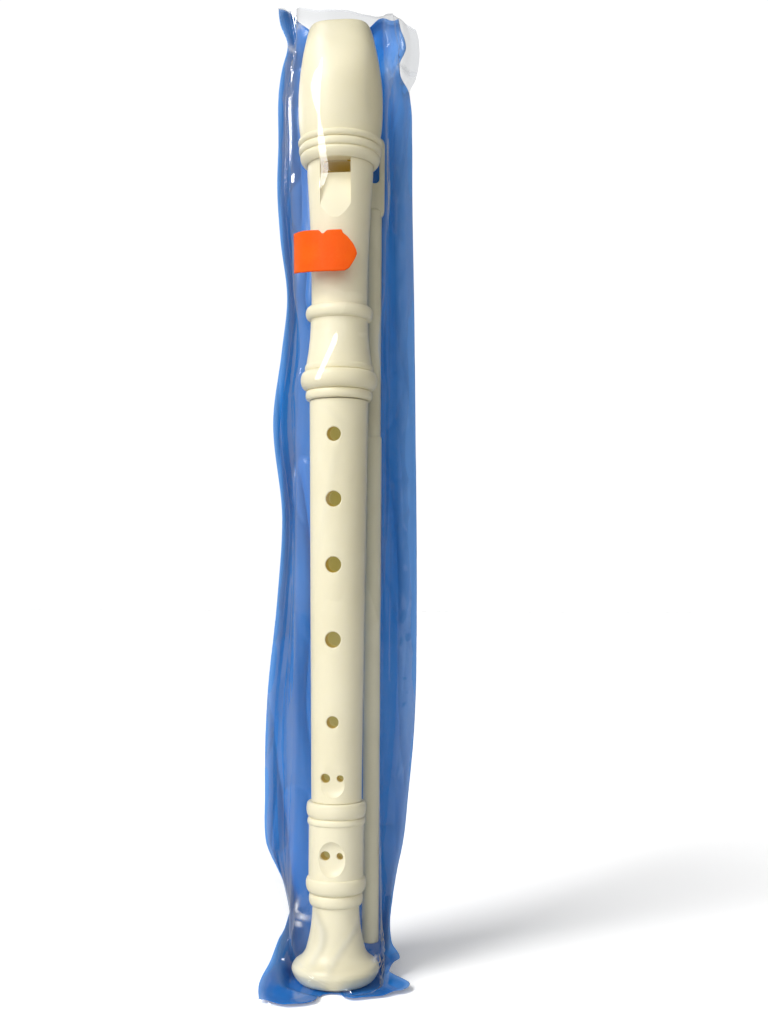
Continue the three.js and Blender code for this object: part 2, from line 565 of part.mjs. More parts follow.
// Back film: a floor under the bell, with two flat lobes in front of it, and a wall up the back.
function backFilm() {
  const rows = [];
  const across = shares(SHEET_COLUMNS).reverse();
  for (const back of shares(FLOOR_ROWS)) {
    const left = THREE.MathUtils.lerp(-CHANNEL_RADIUS - FLOOR_LEFT_MARGIN, leftEdge(FILM), back);
    const right = THREE.MathUtils.lerp(CHANNEL_RADIUS + FLOOR_RIGHT_MARGIN, rightEdge(FILM), back);
    rows.push(across.map((share) => {
      const front = -(CHANNEL_RADIUS + FILM + along(FLOOR_EDGE, share));
      const x = THREE.MathUtils.lerp(left, right, share);
      return new THREE.Vector3(x, THREE.MathUtils.lerp(front, BACK_Y, back), FILM);
    }));
  }
  for (const up of shares(SHEET_ROWS).slice(1)) {
    rows.push(across.map((share) => {
      const z = THREE.MathUtils.lerp(FILM, topEdge(share), up);
      return new THREE.Vector3(THREE.MathUtils.lerp(leftEdge(z), rightEdge(z), share), BACK_Y, z);
    }));
  }
  return film(rows, FILM);
}

// Front film across the pouch at one height: weld, side, round the recorder, side, weld.
function frontSection(z) {
  const y = BACK_Y - SEAT;
  const left = new THREE.Vector2(leftEdge(z) + WELD_WIDTH, y);
  const right = new THREE.Vector2(frontRightEdge(z) - WELD_WIDTH, y);
  const leftTouch = left.angle() + Math.acos(CHANNEL_RADIUS / left.length());
  const rightTouch = right.angle() - Math.acos(CHANNEL_RADIUS / right.length()) + 2 * Math.PI;
  const points = [new THREE.Vector2(left.x - WELD_WIDTH, y), left];
  for (const share of shares(SHEET_COLUMNS)) {
    const angle = THREE.MathUtils.lerp(leftTouch, rightTouch, share);
    points.push(new THREE.Vector2(Math.cos(angle), Math.sin(angle)).multiplyScalar(CHANNEL_RADIUS));
  }
  points.push(right, new THREE.Vector2(right.x + WELD_WIDTH, y));
  return points;
}

function frontFilm() {
  const count = frontSection(FILM).length - 1;
  const rows = shares(SHEET_ROWS).map((up) => shares(count).map((share, u) => {
    const top = topEdge(share) - FRONT_DIP * Math.sin(Math.PI * share) ** 2;
    const z = THREE.MathUtils.lerp(FILM + SEAT, top, up);
    const { x, y } = frontSection(z)[u];
    return new THREE.Vector3(x, y, z);
  }));
  return film(rows, FILM);
}

// Label on the front film, with a straight left end and a rounded right one.
function priceLabel() {
  const radius = CHANNEL_RADIUS + FILM + SEAT;
  const middle = BASE_Z + HEAD_Z + LABEL_RISE;
  const rows = [-1, 0, 1].map((side) => shares(LABEL_COLUMNS).map((share) => {
    const run = (share - 0.5) * LABEL_LENGTH;
    const past = Math.max(0, run - LABEL_LENGTH / 2 + LABEL_POINT) / LABEL_POINT;
    const half = (LABEL_HEIGHT / 2) * THREE.MathUtils.lerp(LABEL_END_SHARE, 1, Math.sqrt(1 - past ** 2));
    const angle = (run + LABEL_SHIFT) / radius;
    return new THREE.Vector3(radius * Math.sin(angle), -radius * Math.cos(angle), middle + side * half);
  }));
  return film(rows, LABEL_THICKNESS);
}

// Colour and roughness of each material
const IVORY = [0xf1eac6, 0.35];
const ROD_PLASTIC = [0xdad4b5, 0.4];
const BLUE_FILM = [0x2e6dbe, 0.2];
const CLEAR_FILM = [0xdfe6ee, 0.1];
const LABEL_PAPER = [0xff6e14, 0.6];

const recorder = new THREE.Group();
recorder.rotation.z = RECORDER_TURN;
recorder.position.z = BASE_Z;
recorder.add(
  named("mouthpiece", mouthpiece(), IVORY),
  named("fipple_block", fippleBlock(), IVORY),
  named("head_joint", headJoint(), IVORY),
  named("middle_joint", middleJoint(), IVORY),
  named("foot_joint", footJoint(), IVORY),
);

const part = new THREE.Group();
part.add(
  recorder,
  named("cleaning_rod", cleaningRod(), ROD_PLASTIC),
  named("pouch_back_film", backFilm(), BLUE_FILM),
  named("pouch_front_film", frontFilm(), CLEAR_FILM),
  named("price_label", priceLabel(), LABEL_PAPER),
);

export default part;
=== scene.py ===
import math

import bmesh
import bpy
import numpy as np
from mathutils import Matrix, Vector, noise


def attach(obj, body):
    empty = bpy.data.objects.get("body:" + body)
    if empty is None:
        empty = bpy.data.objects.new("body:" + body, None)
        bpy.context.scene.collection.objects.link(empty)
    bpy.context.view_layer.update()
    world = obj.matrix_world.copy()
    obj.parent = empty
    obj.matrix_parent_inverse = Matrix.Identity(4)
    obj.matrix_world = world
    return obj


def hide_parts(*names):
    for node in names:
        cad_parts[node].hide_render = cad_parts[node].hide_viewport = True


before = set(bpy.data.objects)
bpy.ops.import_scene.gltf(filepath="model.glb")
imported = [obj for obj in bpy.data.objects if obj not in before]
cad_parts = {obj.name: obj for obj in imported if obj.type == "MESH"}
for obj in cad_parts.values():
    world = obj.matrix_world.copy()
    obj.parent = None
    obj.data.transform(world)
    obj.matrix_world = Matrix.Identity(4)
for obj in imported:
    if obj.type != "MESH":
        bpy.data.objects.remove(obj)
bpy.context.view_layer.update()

# Sizes are in millimetres, in the frame of the solids, and become metres when a mesh is made.
MM = 0.001
SEGMENTS = 144
HOLE_SEGMENTS = 48
ROD_SEGMENTS = 64
CURVE_STEPS = 16
# Stands for no distance, where there has to be some
TINY = 0.01
# The recorder stands on the blue film, turned a little.
BASE_Z = 0.7
RECORDER_TURN = math.radians(-10)
# Play round a tenon and at its end
FIT = 0.15
SEAT = 0.3
# Depth of the grooves between rings, and how far a cut reaches past its piece
GROOVE = 0.9
OVERCUT = 1.0

# Tenons of the middle joint, and the sockets that hold them
LOWER_TENON_RADIUS = 6.9
LOWER_TENON_LENGTH = 13.5
UPPER_TENON_RADIUS = 8.2
UPPER_TENON_LENGTH = 22
SOCKET_CHAMFER = 0.4

# Foot joint, from its bell upwards
BELL_MOUTH_RADIUS = 11.4
BELL_MOUTH_DEPTH = 14
RIM_FOOT_RADIUS = 11.7
RIM_RADIUS = 15.2
RIM_WIDEST = 4.5
NECK_RADIUS = 8.1
NECK_TOP = 26.6
FOOT_TUBE_RADIUS = 9.55
FOOT_TUBE_TOP = 54.8
FOOT_BORE = 4.9
FOOT_PAIR_Z = 44.8
FOOT_HEIGHT = 62.6

# Middle joint. It tapers towards the foot, and so does its bore.
BODY_Z = FOOT_HEIGHT + SEAT
BODY_LENGTH = 138.3
BODY_FOOT_RADIUS = 8.75
BODY_HEAD_RADIUS = 10.15
BODY_EDGE = 0.15
BODY_SEAM = 0.2
BODY_BORE_TOP = 5.8
BODY_PAIR_Z = 8.5

# Head joint and its cap
HEAD_Z = BODY_Z + BODY_LENGTH + SEAT
HEAD_TUBE_HEIGHT = 96.0
HEAD_TUBE_RADIUS = 9.7
HEAD_FLARE = 22.75
HEAD_BORE = 6.0
SOCKET_RING_RADIUS = 11.6
BARREL_RING_RADIUS = 11.9
BARREL_RADIUS = 9.95
BARREL_TOP = 27.7
CAP_SEAT_Z = 78.0
CAP_SEAT_RADIUS = 11.4
CAP_Z = 81.3
CAP_HEIGHT = 48.1
CAP_RADIUS = 14.65
CAP_SKIRT_RADIUS = 13.9
CAP_GROOVE_RADIUS = 13.45
BULB_TOP = 21.9
SHOULDER_Z = 44.9
# How far the beak turns square towards its tip, and how much it is flattened there
BEAK_SQUARE = 1.2
BEAK_FLAT = 0.18

# Windway, window and the ramp up to the labium
WINDWAY_WIDTH = 10.6
WINDWAY_FLOOR = 5.0
WINDWAY_HEIGHT = 1.2
WINDOW_TOP = CAP_Z + 0.4
LABIUM_Z = WINDOW_TOP - 4.2
LABIUM_DEPTH = 6.4
RAMP_LENGTH = 20.7

# Holes: their lip, the slant of their walls, and where their drills end in front of the axis
LIP = 0.35
LIP_FLARE = 1.6
LIP_TURNS = (20, 40, 60, 74)
HOLE_SLANT = 0.14
HOLE_END = 1.0
# How much painted golden shade the walls of the holes get
HOLE_SHADE_MARK = 0.5
# Height on the middle joint, and diameter
FINGER_HOLES = ((126.1, 4.8), (104, 5.3), (81.6, 5.4), (56, 5.4), (27.8, 4.1))
THUMB_HOLE = (133.5, 5.3)
# A pair of holes: distance of each from the middle, and both diameters
PAIR_SIDE = 2.55
PAIR_LARGE = 3.3
PAIR_SMALL = 2.5
# Rim of the dish round a pair: distance past the dish's radius, and rise over its floor
DISH_RIM = ((-2.6, 0), (-1.8, 0.08), (-1, 0.3), (-0.4, 0.62), (0.2, 1.1), (0.8, 1.7), (1.8, 3.2))

# Cleaning rod, with a thinner upper part and a paddle that has an eye for the cloth
ROD_PLACE = (12.4, 13.99, 10.2)
ROD_RADIUS = 3
ROD_THIN_RADIUS = 2.6
ROD_STEP_Z = 181.4
ROD_TOP = 262
PADDLE_WIDTH = 7
PADDLE_SPAN = (259, 289)
PADDLE_THICKNESS = 2.6
PADDLE_EDGE = 0.45
EYE_WIDTH = 3.2
EYE_SPAN = (272.1, 287.1)


# Outlines

class Outline:
    """Radius against height, drawn from point to point with lines and curves."""

    def __init__(self, radius, height):
        self.points = [(radius, height)]

    def line(self, radius, height, pieces=1):
        r0, z0 = self.points[-1]
        for i in range(1, pieces + 1):
            t = i / pieces
            self.points.append((r0 + (radius - r0) * t, z0 + (height - z0) * t))

    def cubic(self, a, b, c):
        start = self.points[-1]
        for i in range(1, CURVE_STEPS + 1):
            t = i / CURVE_STEPS
            s = 1 - t
            share = (s ** 3, 3 * s * s * t, 3 * s * t * t, t ** 3)
            self.points.append(tuple(
                sum(w * p[k] for w, p in zip(share, (start, a, b, c))) for k in (0, 1)))

    def quad(self, a, b):
        start = self.points[-1]
        toward = [tuple((p[k] + 2 * a[k]) / 3 for k in (0, 1)) for p in (start, b)]
        self.cubic(toward[0], toward[1], b)

    def bead(self, height, crest, end_radius):
        """Carries the outline over a rounded ring."""
        r, z = self.points[-1]
        pull = (8 * crest - r - end_radius) / 6
        self.cubic((pull, z), (pull, z + height), (end_radius, z + height))

    def ring(self, height, crest):
        """A bead that ends in a groove."""
        self.bead(height, crest, crest - GROOVE)


def run(marks, place):
    """Smooth curve through (place, value) marks, at one place or an array of them."""
    at, value = np.array(marks, float).T
    slope = np.gradient(value, at)
    place = np.clip(place, at[0], at[-1])
    i = np.clip(np.searchsorted(at, place, side="right") - 1, 0, len(at) - 2)
    step = at[i + 1] - at[i]
    t = (place - at[i]) / step
    s = 1 - t
    return (s * s * ((1 + 2 * t) * value[i] + t * step * slope[i])
            + t * t * ((3 - 2 * t) * value[i + 1] - s * step * slope[i + 1]))


def ease(value, low, high):
    """Climbs smoothly from 0 to 1."""
    t = np.clip((value - low) / (high - low), 0, 1)
    return t * t * (3 - 2 * t)


def band(value, low, rise, fall, high):
    """Climbs from 0 to 1 between the first two places and falls back between the last two."""
    return ease(value, low, rise) * (1 - ease(value, fall, high))


def hump(value, middle, width):
    """A bell curve, 1 at its middle."""
    return np.exp(-((value - middle) / width) ** 2)


# Meshes

def added(name, data):
    """A new object in the scene."""
    holder = bpy.data.objects.new(name, data)
    bpy.context.scene.collection.objects.link(holder)
    return holder


def make(name, points, faces):
    mesh = bpy.data.meshes.new(name)
    mesh.from_pydata([tuple(float(c) * MM for c in p) for p in points], [], faces)
    return added(name, mesh)


def skin(rings, closed_up=False):
    """Faces over rings of equal length, with caps, or joined from last to first."""
    count = len(rings[0])
    points = [p for ring in rings for p in ring]
    faces = []
    spans = len(rings) if closed_up else len(rings) - 1
    for k in range(spans):
        low, high = k * count, (k + 1) % len(rings) * count
        for i in range(count):
            j = (i + 1) % count
            faces.append((low + i, low + j, high + j, high + i))
    if not closed_up:
        last = (len(rings) - 1) * count
        faces.append(tuple(reversed(range(count))))
        faces.append(tuple(range(last, last + count)))
    return points, faces


def turns(count):
    """Angles evenly round a circle."""
    return [2 * math.pi * i / count for i in range(count)]


def ring_of(radius, height, segments=SEGMENTS):
    return [(radius * math.cos(turn), radius * math.sin(turn), height) for turn in turns(segments)]


def turned_tube(name, outline):
    """A tube from a closed outline, up on the outside and down on the inside."""
    points, faces = skin([ring_of(r, z) for r, z in outline.points], closed_up=True)
    return make(name, points, faces)


def bar(radius, low, high):
    return make("bar", *skin([ring_of(radius, low), ring_of(radius, high)]))


def prism(corners, width):
    """A prism across X from corners given as (distance in front of the axis, height)."""
    rings = [[(x, -front, z) for front, z in corners] for x in (-width / 2, width / 2)]
    return make("prism", *skin(rings))


def box_cut(width, front, back, low, high):
    return prism([(back, low), (front, low), (front, high), (back, high)], width)


def windway_cut(low, high):
    return box_cut(WINDWAY_WIDTH, WINDWAY_FLOOR + WINDWAY_HEIGHT, WINDWAY_FLOOR, low, high)


def applied(piece):
    """Puts the result of a piece's modifiers into its mesh."""
    graph = bpy.context.evaluated_depsgraph_get()
    old = piece.data
    piece.data = bpy.data.meshes.new_from_object(piece.evaluated_get(graph))
    piece.modifiers.clear()
    bpy.data.meshes.remove(old)


def outwards(piece):
    work = bmesh.new()
    work.from_mesh(piece.data)
    bmesh.ops.recalc_face_normals(work, faces=work.faces)
    work.to_mesh(piece.data)
    work.free()


def combine(piece, other, operation="DIFFERENCE"):
    outwards(other)
    change = piece.modifiers.new("change", "BOOLEAN")
    change.operation = operation
    change.solver = "EXACT"
    change.object = other
    applied(piece)
    bpy.data.objects.remove(other)


def hole(x, z, diameter, tube, side=1):
    """A slanting drill with a rounded lip at the tube's surface. Side -1 drills from the back."""
    radius = diameter / 2
    steps = [(radius, None), (radius, LIP)]
    for degrees in LIP_TURNS:
        turn = math.radians(degrees)
        steps.append((radius + LIP * (1 - math.cos(turn)), LIP * (1 - math.sin(turn))))
    steps.append((radius + LIP * LIP_FLARE, -LIP))
    rings = []
    for rho, inset in steps:
        ring = []
        for turn in turns(HOLE_SEGMENTS):
            px = x + rho * math.cos(turn)
            surface = math.sqrt(tube ** 2 - px ** 2)
            depth = HOLE_END if inset is None else surface - inset
            slant = HOLE_SLANT * (surface - LIP - depth) if inset is None else 0
            ring.append((px + slant, -side * depth, z + rho * math.sin(turn) + slant))
        rings.append(ring)
    rings.append([(p[0], -side * (tube + OVERCUT), p[2]) for p in rings[-1]])
    return make("hole", *skin(rings))


def dish(z, radius, floor, tilt):
    """The shallow dish of a pair of holes, with a soft rim. Its floor leans out towards the top."""
    steps = [(TINY, 0)] + [(radius + past, rise) for past, rise in DISH_RIM]
    rings = []
    for rho, rise in steps:
        ring = []
        for turn in turns(2 * HOLE_SEGMENTS):
            up = rho * math.sin(turn)
            ring.append((rho * math.cos(turn), -(floor + rise + tilt * up), z + up))
        rings.append(ring)
    return make("dish", *skin(rings))


def pair(piece, z, tube, dish_z, dish_radius, depth, tilt):
    """Cuts a dish with two holes side by side into a tube of the given radius."""
    combine(piece, dish(dish_z, dish_radius, tube - depth, tilt))
    combine(piece, hole(-PAIR_SIDE, z, PAIR_LARGE, tube))
    combine(piece, hole(PAIR_SIDE, z, PAIR_SMALL, tube))


def place_on_recorder(piece, height):
    piece.data.transform(
        Matrix.Translation((0, 0, (BASE_Z + height) * MM)) @ Matrix.Rotation(RECORDER_TURN, 4, "Z"))


def crisp(piece, direction):
    """Sharpens the border of the flat faces that look in one direction."""
    same_way = 0.9995
    work = bmesh.new()
    work.from_mesh(piece.data)
    for edge in work.edges:
        looks = [face.normal.dot(direction) > same_way for face in edge.link_faces]
        if any(looks) and not all(looks):
            edge.smooth = False
    work.to_mesh(piece.data)
    work.free()


def thicken(piece, thickness):
    """Gives a sheet its thickness, on the side to which its faces look."""
    thick = piece.modifiers.new("thickness", "SOLIDIFY")
    thick.thickness = thickness * MM
    thick.offset = 1


def mark_vertices(piece, name, values):
    layer = piece.data.attributes.new(name, "FLOAT", "POINT")
    layer.data.foreach_set("value", np.asarray(values, np.float32).ravel())


def mark_inside(piece, low, high, most, holes):
    """Marks the walls of the bore, down to 0 at the higher distance from the axis, and of the holes, where
    golden shade and glow are painted.
    """
    x, y, z = np.array([v.co for v in piece.data.vertices]).T / MM
    marks = most * (1 - ease(np.hypot(x, y), low, high))
    for height, diameter in holes:
        on_wall = (np.hypot(x, z - height) < diameter / 2 + TINY) & (y < 0)
        marks = np.maximum(marks, HOLE_SHADE_MARK * on_wall)
    mark_vertices(piece, "inside_shade", marks)


# Recorder

def foot_joint():
    socket = LOWER_TENON_RADIUS + FIT
    socket_floor = BODY_Z - LOWER_TENON_LENGTH - SEAT
    # The rim, the flare and the neck of the bell
    path = Outline(BELL_MOUTH_RADIUS, 0)
    path.line(RIM_FOOT_RADIUS, 0)
    path.quad((14.1, 0.7), (RIM_RADIUS, RIM_WIDEST))
    path.quad((RIM_RADIUS, 6.5), (13.5, 7.5))
    path.quad((10.8, 9.2), (10.1, 12))
    path.quad((NECK_RADIUS, 19.3), (NECK_RADIUS, NECK_TOP))
    # Two rings, the tube with its holes, and two more rings
    path.ring(height=4.4, crest=9.4)
    path.bead(height=5.5, crest=10.45, end_radius=FOOT_TUBE_RADIUS)
    path.line(FOOT_TUBE_RADIUS, FOOT_TUBE_TOP, pieces=8)
    path.ring(height=2.4, crest=10.05)
    path.ring(height=5.4, crest=10.4)
    # The socket, and the bore down to the bell's mouth
    path.line(socket + SOCKET_CHAMFER, FOOT_HEIGHT)
    path.line(socket, FOOT_HEIGHT - SOCKET_CHAMFER)
    path.line(socket, socket_floor)
    path.line(FOOT_BORE, socket_floor)
    path.line(FOOT_BORE, BELL_MOUTH_DEPTH, pieces=4)
    path.quad((FOOT_BORE, 0), (BELL_MOUTH_RADIUS - TINY, TINY))
    piece = turned_tube("foot_joint_smooth", path)
    pair(piece, FOOT_PAIR_Z, FOOT_TUBE_RADIUS, dish_z=44.1, dish_radius=5.4, depth=1.62, tilt=0.03)
    return piece


def body_radius(z):
    return BODY_FOOT_RADIUS + (BODY_HEAD_RADIUS - BODY_FOOT_RADIUS) * z / BODY_LENGTH


def tenon(path, radius, start, length):
    """Carries an outline upwards along a grooved tenon, from the shoulder or to it."""
    chamfer, width, depth = 0.5, 1.4, 0.4
    groove_places = (0.35, 0.65)
    size = abs(length)
    marks = [(radius, 0.0)]
    for share in groove_places:
        low, high = share * size - width / 2, share * size + width / 2
        marks += [(radius, low), (radius - depth, low), (radius - depth, high), (radius, high)]
    marks += [(radius, size - chamfer), (radius - chamfer, size)]
    if length < 0:
        marks.reverse()
    for r, distance in marks:
        path.line(r, start + math.copysign(distance, length))


def middle_joint():
    path = Outline(FOOT_BORE, -LOWER_TENON_LENGTH)
    tenon(path, LOWER_TENON_RADIUS, 0, -LOWER_TENON_LENGTH)
    path.line(BODY_FOOT_RADIUS - BODY_EDGE, -BODY_SEAM)
    path.line(BODY_FOOT_RADIUS, BODY_EDGE - BODY_SEAM)
    path.line(body_radius(BODY_LENGTH - BODY_EDGE), BODY_LENGTH - BODY_EDGE, pieces=40)
    path.line(BODY_HEAD_RADIUS - BODY_EDGE, BODY_LENGTH)
    tenon(path, UPPER_TENON_RADIUS, BODY_LENGTH, UPPER_TENON_LENGTH)
    path.line(BODY_BORE_TOP, BODY_LENGTH + UPPER_TENON_LENGTH)
    path.line(FOOT_BORE + TINY, TINY - LOWER_TENON_LENGTH, pieces=30)
    piece = turned_tube("middle_joint_smooth", path)
    for z, diameter in FINGER_HOLES:
        combine(piece, hole(0, z, diameter, body_radius(z)))
    z, diameter = THUMB_HOLE
    combine(piece, hole(0, z, diameter, body_radius(z), side=-1))
    pair(piece, BODY_PAIR_Z, body_radius(BODY_PAIR_Z), dish_z=10.4, dish_radius=7.6, depth=0.48, tilt=0.16)
    return piece


def head_joint():
    socket = UPPER_TENON_RADIUS + FIT
    socket_top = UPPER_TENON_LENGTH + SEAT
    # Three rings, the barrel, one more ring, and the tube up to the cap's seat
    path = Outline(socket, SOCKET_CHAMFER)
    path.line(socket + SOCKET_CHAMFER, 0)
    path.line(SOCKET_RING_RADIUS - GROOVE, 0)
    path.ring(height=3.3, crest=SOCKET_RING_RADIUS)
    path.bead(height=6.6, crest=13.3, end_radius=BARREL_RING_RADIUS - GROOVE / 2)
    path.bead(height=2.2, crest=BARREL_RING_RADIUS, end_radius=BARREL_RING_RADIUS - GROOVE / 2)
    path.quad((BARREL_RADIUS, 19.9), (BARREL_RADIUS, BARREL_TOP))
    path.bead(height=4.8, crest=11.7, end_radius=HEAD_TUBE_RADIUS)
    path.quad((HEAD_TUBE_RADIUS, CAP_SEAT_Z - HEAD_FLARE), (CAP_SEAT_RADIUS, CAP_SEAT_Z))
    path.line(CAP_SEAT_RADIUS, HEAD_TUBE_HEIGHT, pieces=6)
    # The bore down to the socket
    path.line(HEAD_BORE, HEAD_TUBE_HEIGHT)
    path.line(HEAD_BORE, socket_top, pieces=16)
    path.line(socket, socket_top)
    piece = turned_tube("head_joint_smooth", path)
    # The window, the ramp below it and the windway's roof above it
    outside = CAP_SEAT_RADIUS + OVERCUT
    floor = math.sqrt(HEAD_BORE ** 2 - (WINDWAY_WIDTH / 2) ** 2)
    combine(piece, box_cut(WINDWAY_WIDTH, outside, floor, LABIUM_Z, WINDOW_TOP))
    reach = RAMP_LENGTH * (1 + OVERCUT / (CAP_SEAT_RADIUS - LABIUM_DEPTH))
    combine(piece, prism([(LABIUM_DEPTH, LABIUM_Z), (outside, LABIUM_Z - reach), (outside, LABIUM_Z)],
                         WINDWAY_WIDTH))
    combine(piece, windway_cut(WINDOW_TOP - OVERCUT, HEAD_TUBE_HEIGHT + OVERCUT))
    return piece


# The hollow under the beak: an arc between two points, each a distance behind the axis and a height
SCOOP_RADIUS = 45.0
SCOOP_TIP = (0.5, CAP_HEIGHT)
SCOOP_FOOT = (CAP_RADIUS, CAP_HEIGHT - 30)
SCOOP_START = SCOOP_FOOT[1] - 2
SCOOP_SOFTNESS = 0.9


def scoop_depth(z):
    """Distance behind the axis of the hollow under the beak, at a height on the cap."""
    tip, foot = Vector(SCOOP_TIP), Vector(SCOOP_FOOT)
    chord = foot - tip
    rise = math.sqrt(SCOOP_RADIUS ** 2 - chord.length_squared / 4)
    centre = (tip + foot) / 2 + Vector((-chord.y, chord.x)).normalized() * rise
    return centre.x - math.sqrt(max(SCOOP_RADIUS ** 2 - (z - centre.y) ** 2, 0))


def lesser(a, b, softness):
    """The smaller of two values, with a rounded change from one to the other."""
    share = max(softness - abs(a - b), 0) / softness
    return min(a, b) - share * share * softness / 4


def cap_outline():
    """Three rings, the bulb, and the beak's shoulder and tip."""
    path = Outline(12.3, 0)
    path.quad((CAP_SKIRT_RADIUS, 1.08), (CAP_SKIRT_RADIUS, 2.88))
    path.line(CAP_GROOVE_RADIUS, 3.6)
    path.bead(height=2.9, crest=14.4, end_radius=CAP_GROOVE_RADIUS)
    path.bead(height=2.4, crest=CAP_RADIUS, end_radius=13.7)
    path.quad((CAP_RADIUS, 12.8), (CAP_RADIUS, BULB_TOP))
    path.cubic((CAP_RADIUS, BULB_TOP + 6.9), (12.925, SHOULDER_Z - 6.9), (11.2, SHOULDER_Z))
    path.quad((10.4, CAP_HEIGHT), (9.2, CAP_HEIGHT))
    return path


def mouthpiece():
    rings = []
    for radius, z in cap_outline().points:
        share = float(ease(z, BULB_TOP, CAP_HEIGHT))
        power = 2 / (2 + BEAK_SQUARE * share)
        depth = radius * (1 - BEAK_FLAT * share)
        back = scoop_depth(z)
        ring = []
        for turn in turns(SEGMENTS):
            across, along = math.cos(turn), math.sin(turn)
            x = radius * math.copysign(abs(across) ** power, across)
            y = depth * math.copysign(abs(along) ** power, along)
            ring.append((x, lesser(y, back, SCOOP_SOFTNESS) if z > SCOOP_START else y, z))
        rings.append(ring)
    piece = make("mouthpiece_smooth", *skin(rings))
    seat_top = HEAD_TUBE_HEIGHT - CAP_Z + SEAT
    combine(piece, bar(CAP_SEAT_RADIUS + FIT, -OVERCUT, seat_top))
    combine(piece, bar(HEAD_BORE, seat_top - OVERCUT, CAP_HEIGHT + OVERCUT))
    combine(piece, windway_cut(seat_top - OVERCUT, CAP_HEIGHT + OVERCUT))
    return piece


def fipple_block():
    low = WINDOW_TOP - CAP_Z
    piece = bar(HEAD_BORE - FIT, low, CAP_HEIGHT)
    front = HEAD_BORE + OVERCUT
    combine(piece, box_cut(2 * front, front, WINDWAY_FLOOR, low - OVERCUT, CAP_HEIGHT + OVERCUT))
    heights = np.linspace(SCOOP_START, CAP_HEIGHT + OVERCUT, 40)
    curve = [(-scoop_depth(z), z) for z in heights]
    behind = -2 * SCOOP_FOOT[0]
    combine(piece, prism(curve + [(behind, heights[-1]), (behind, heights[0])], 2 * front))
    piece.name = "fipple_block_smooth"
    return piece


# Cleaning rod

def slot_corners(width, low, high, steps=14):
    radius = width / 2
    corners = []
    for centre, start in ((high - radius, 0), (low + radius, math.pi)):
        for i in range(steps + 1):
            turn = start + math.pi * i / steps
            corners.append((radius * math.cos(turn), centre + radius * math.sin(turn)))
    return corners


def plate(corners, thickness):
    rings = [[(x, y, z) for x, z in corners] for y in (thickness / 2, -thickness / 2)]
    return make("plate", *skin(rings))


def cleaning_rod():
    end_round = 0.8
    path = Outline(TINY, 0)
    path.line(ROD_RADIUS - end_round, 0)
    path.quad((ROD_RADIUS, 0), (ROD_RADIUS, end_round))
    path.line(ROD_RADIUS, ROD_STEP_Z - 1, pieces=30)
    path.quad((ROD_RADIUS, ROD_STEP_Z - 0.4), (ROD_THIN_RADIUS, ROD_STEP_Z))
    path.line(ROD_THIN_RADIUS, ROD_TOP, pieces=14)
    path.line(TINY, ROD_TOP + ROD_THIN_RADIUS)
    piece = make("cleaning_rod_smooth", *skin([ring_of(r, z, ROD_SEGMENTS) for r, z in path.points]))
    blade = plate(slot_corners(PADDLE_WIDTH, *PADDLE_SPAN), PADDLE_THICKNESS)
    combine(blade, plate(slot_corners(EYE_WIDTH, *EYE_SPAN), 2 * PADDLE_THICKNESS))
    round_off = blade.modifiers.new("edge", "BEVEL")
    round_off.width = PADDLE_EDGE * MM
    round_off.segments = 3
    round_off.limit_method = "ANGLE"
    round_off.angle_limit = math.radians(50)
    applied(blade)
    combine(piece, blade, "UNION")
    piece.data.transform(Matrix.Translation([c * MM for c in ROD_PLACE]))
    return piece


# Pouch: where both films meet along the sides, as height, place across and place in depth

LEFT_SIDE = [
    (0.4, -25.2, -21), (3, -25.8, -15), (8, -22.3, -3), (13, -20, 5), (17.5, -17.8, 10.5), (25, -19.9, 13.5),
    (32, -22.2, 15.5), (46, -25.4, 16.7), (64, -25.8, 17), (82, -25.8, 17), (97, -25.2, 17),
    (133, -21.8, 17), (162, -20.2, 17), (198, -23.6, 17), (223, -20.6, 17), (241, -18.9, 17),
    (263, -21.5, 17), (281, -22.7, 17), (296, -22.4, 17), (317, -22.2, 17), (324, -21.2, 17),
    (332.8, -19.3, 17), (342, -22.2, 16), (345.3, -22.7, 15)]
RIGHT_SIDE = [
    (0.4, 22, -13.2), (0.6, 24.4, -11), (0.9, 25.5, -7.6), (1.3, 23.8, -4.2), (2, 19.8, 0.5), (5.8, 22.8, 8),
    (10.6, 20.2, 11), (14.7, 19.6, 13.5), (24.7, 20.4, 16), (32, 21.5, 16.7), (46, 24.3, 17), (64, 26.1, 17),
    (82, 27.7, 17), (133, 28.6, 17), (162, 28.3, 17), (198, 27.7, 17), (241, 27, 17), (281, 26.1, 17),
    (300, 25.9, 17), (312, 25.4, 17), (317.5, 24.3, 17), (321.5, 21.8, 17), (326, 21.1, 17),
    (333.6, 23.6, 16), (343.5, 20.8, 15)]
# The clear film stands past the blue one at the top right.
TAB_SIDE = [(312, 25.4), (317.6, 25.2), (322.3, 27.2), (332.1, 28.3), (338.6, 26.9), (342, 24.6)]
# Front edge of the pouch's bottom on the floor: place across, and place in depth
BOTTOM_EDGE = [
    (-26, -20), (-25, -22.5), (-23, -24.6), (-19, -25.4), (-14, -25.3), (-9, -23.4), (-6.4, -20.8),
    (-4.9, -15.2), (-3, -13), (0, -12.8), (2.2, -14.2), (3.6, -18.2), (5.6, -19.4), (8, -18.8), (13, -17.2),
    (18, -15.6), (23, -13), (25.5, -8)]
# Top edges: place across, and height
BLUE_TOP = [
    (-23, 347.2), (-19.2, 346.8), (-15, 343.8), (-11.8, 340.5), (-7, 335.5), (0, 334), (6, 337),
    (10.6, 343), (13.8, 345.7), (18.2, 345.1), (21, 343.5), (26, 340.5)]
CLEAR_TOP = [
    (-23, 345.2), (-19, 344.6), (-15.5, 338), (-10, 333), (-3.3, 331.4), (2.4, 331.2), (8, 330.8),
    (13, 332.6), (16.5, 337), (21, 340.8), (27, 338.6)]
WELD_WIDTH = 3.0
ROOM_BEHIND = 17.5
SHEET_THICKNESS = 0.15


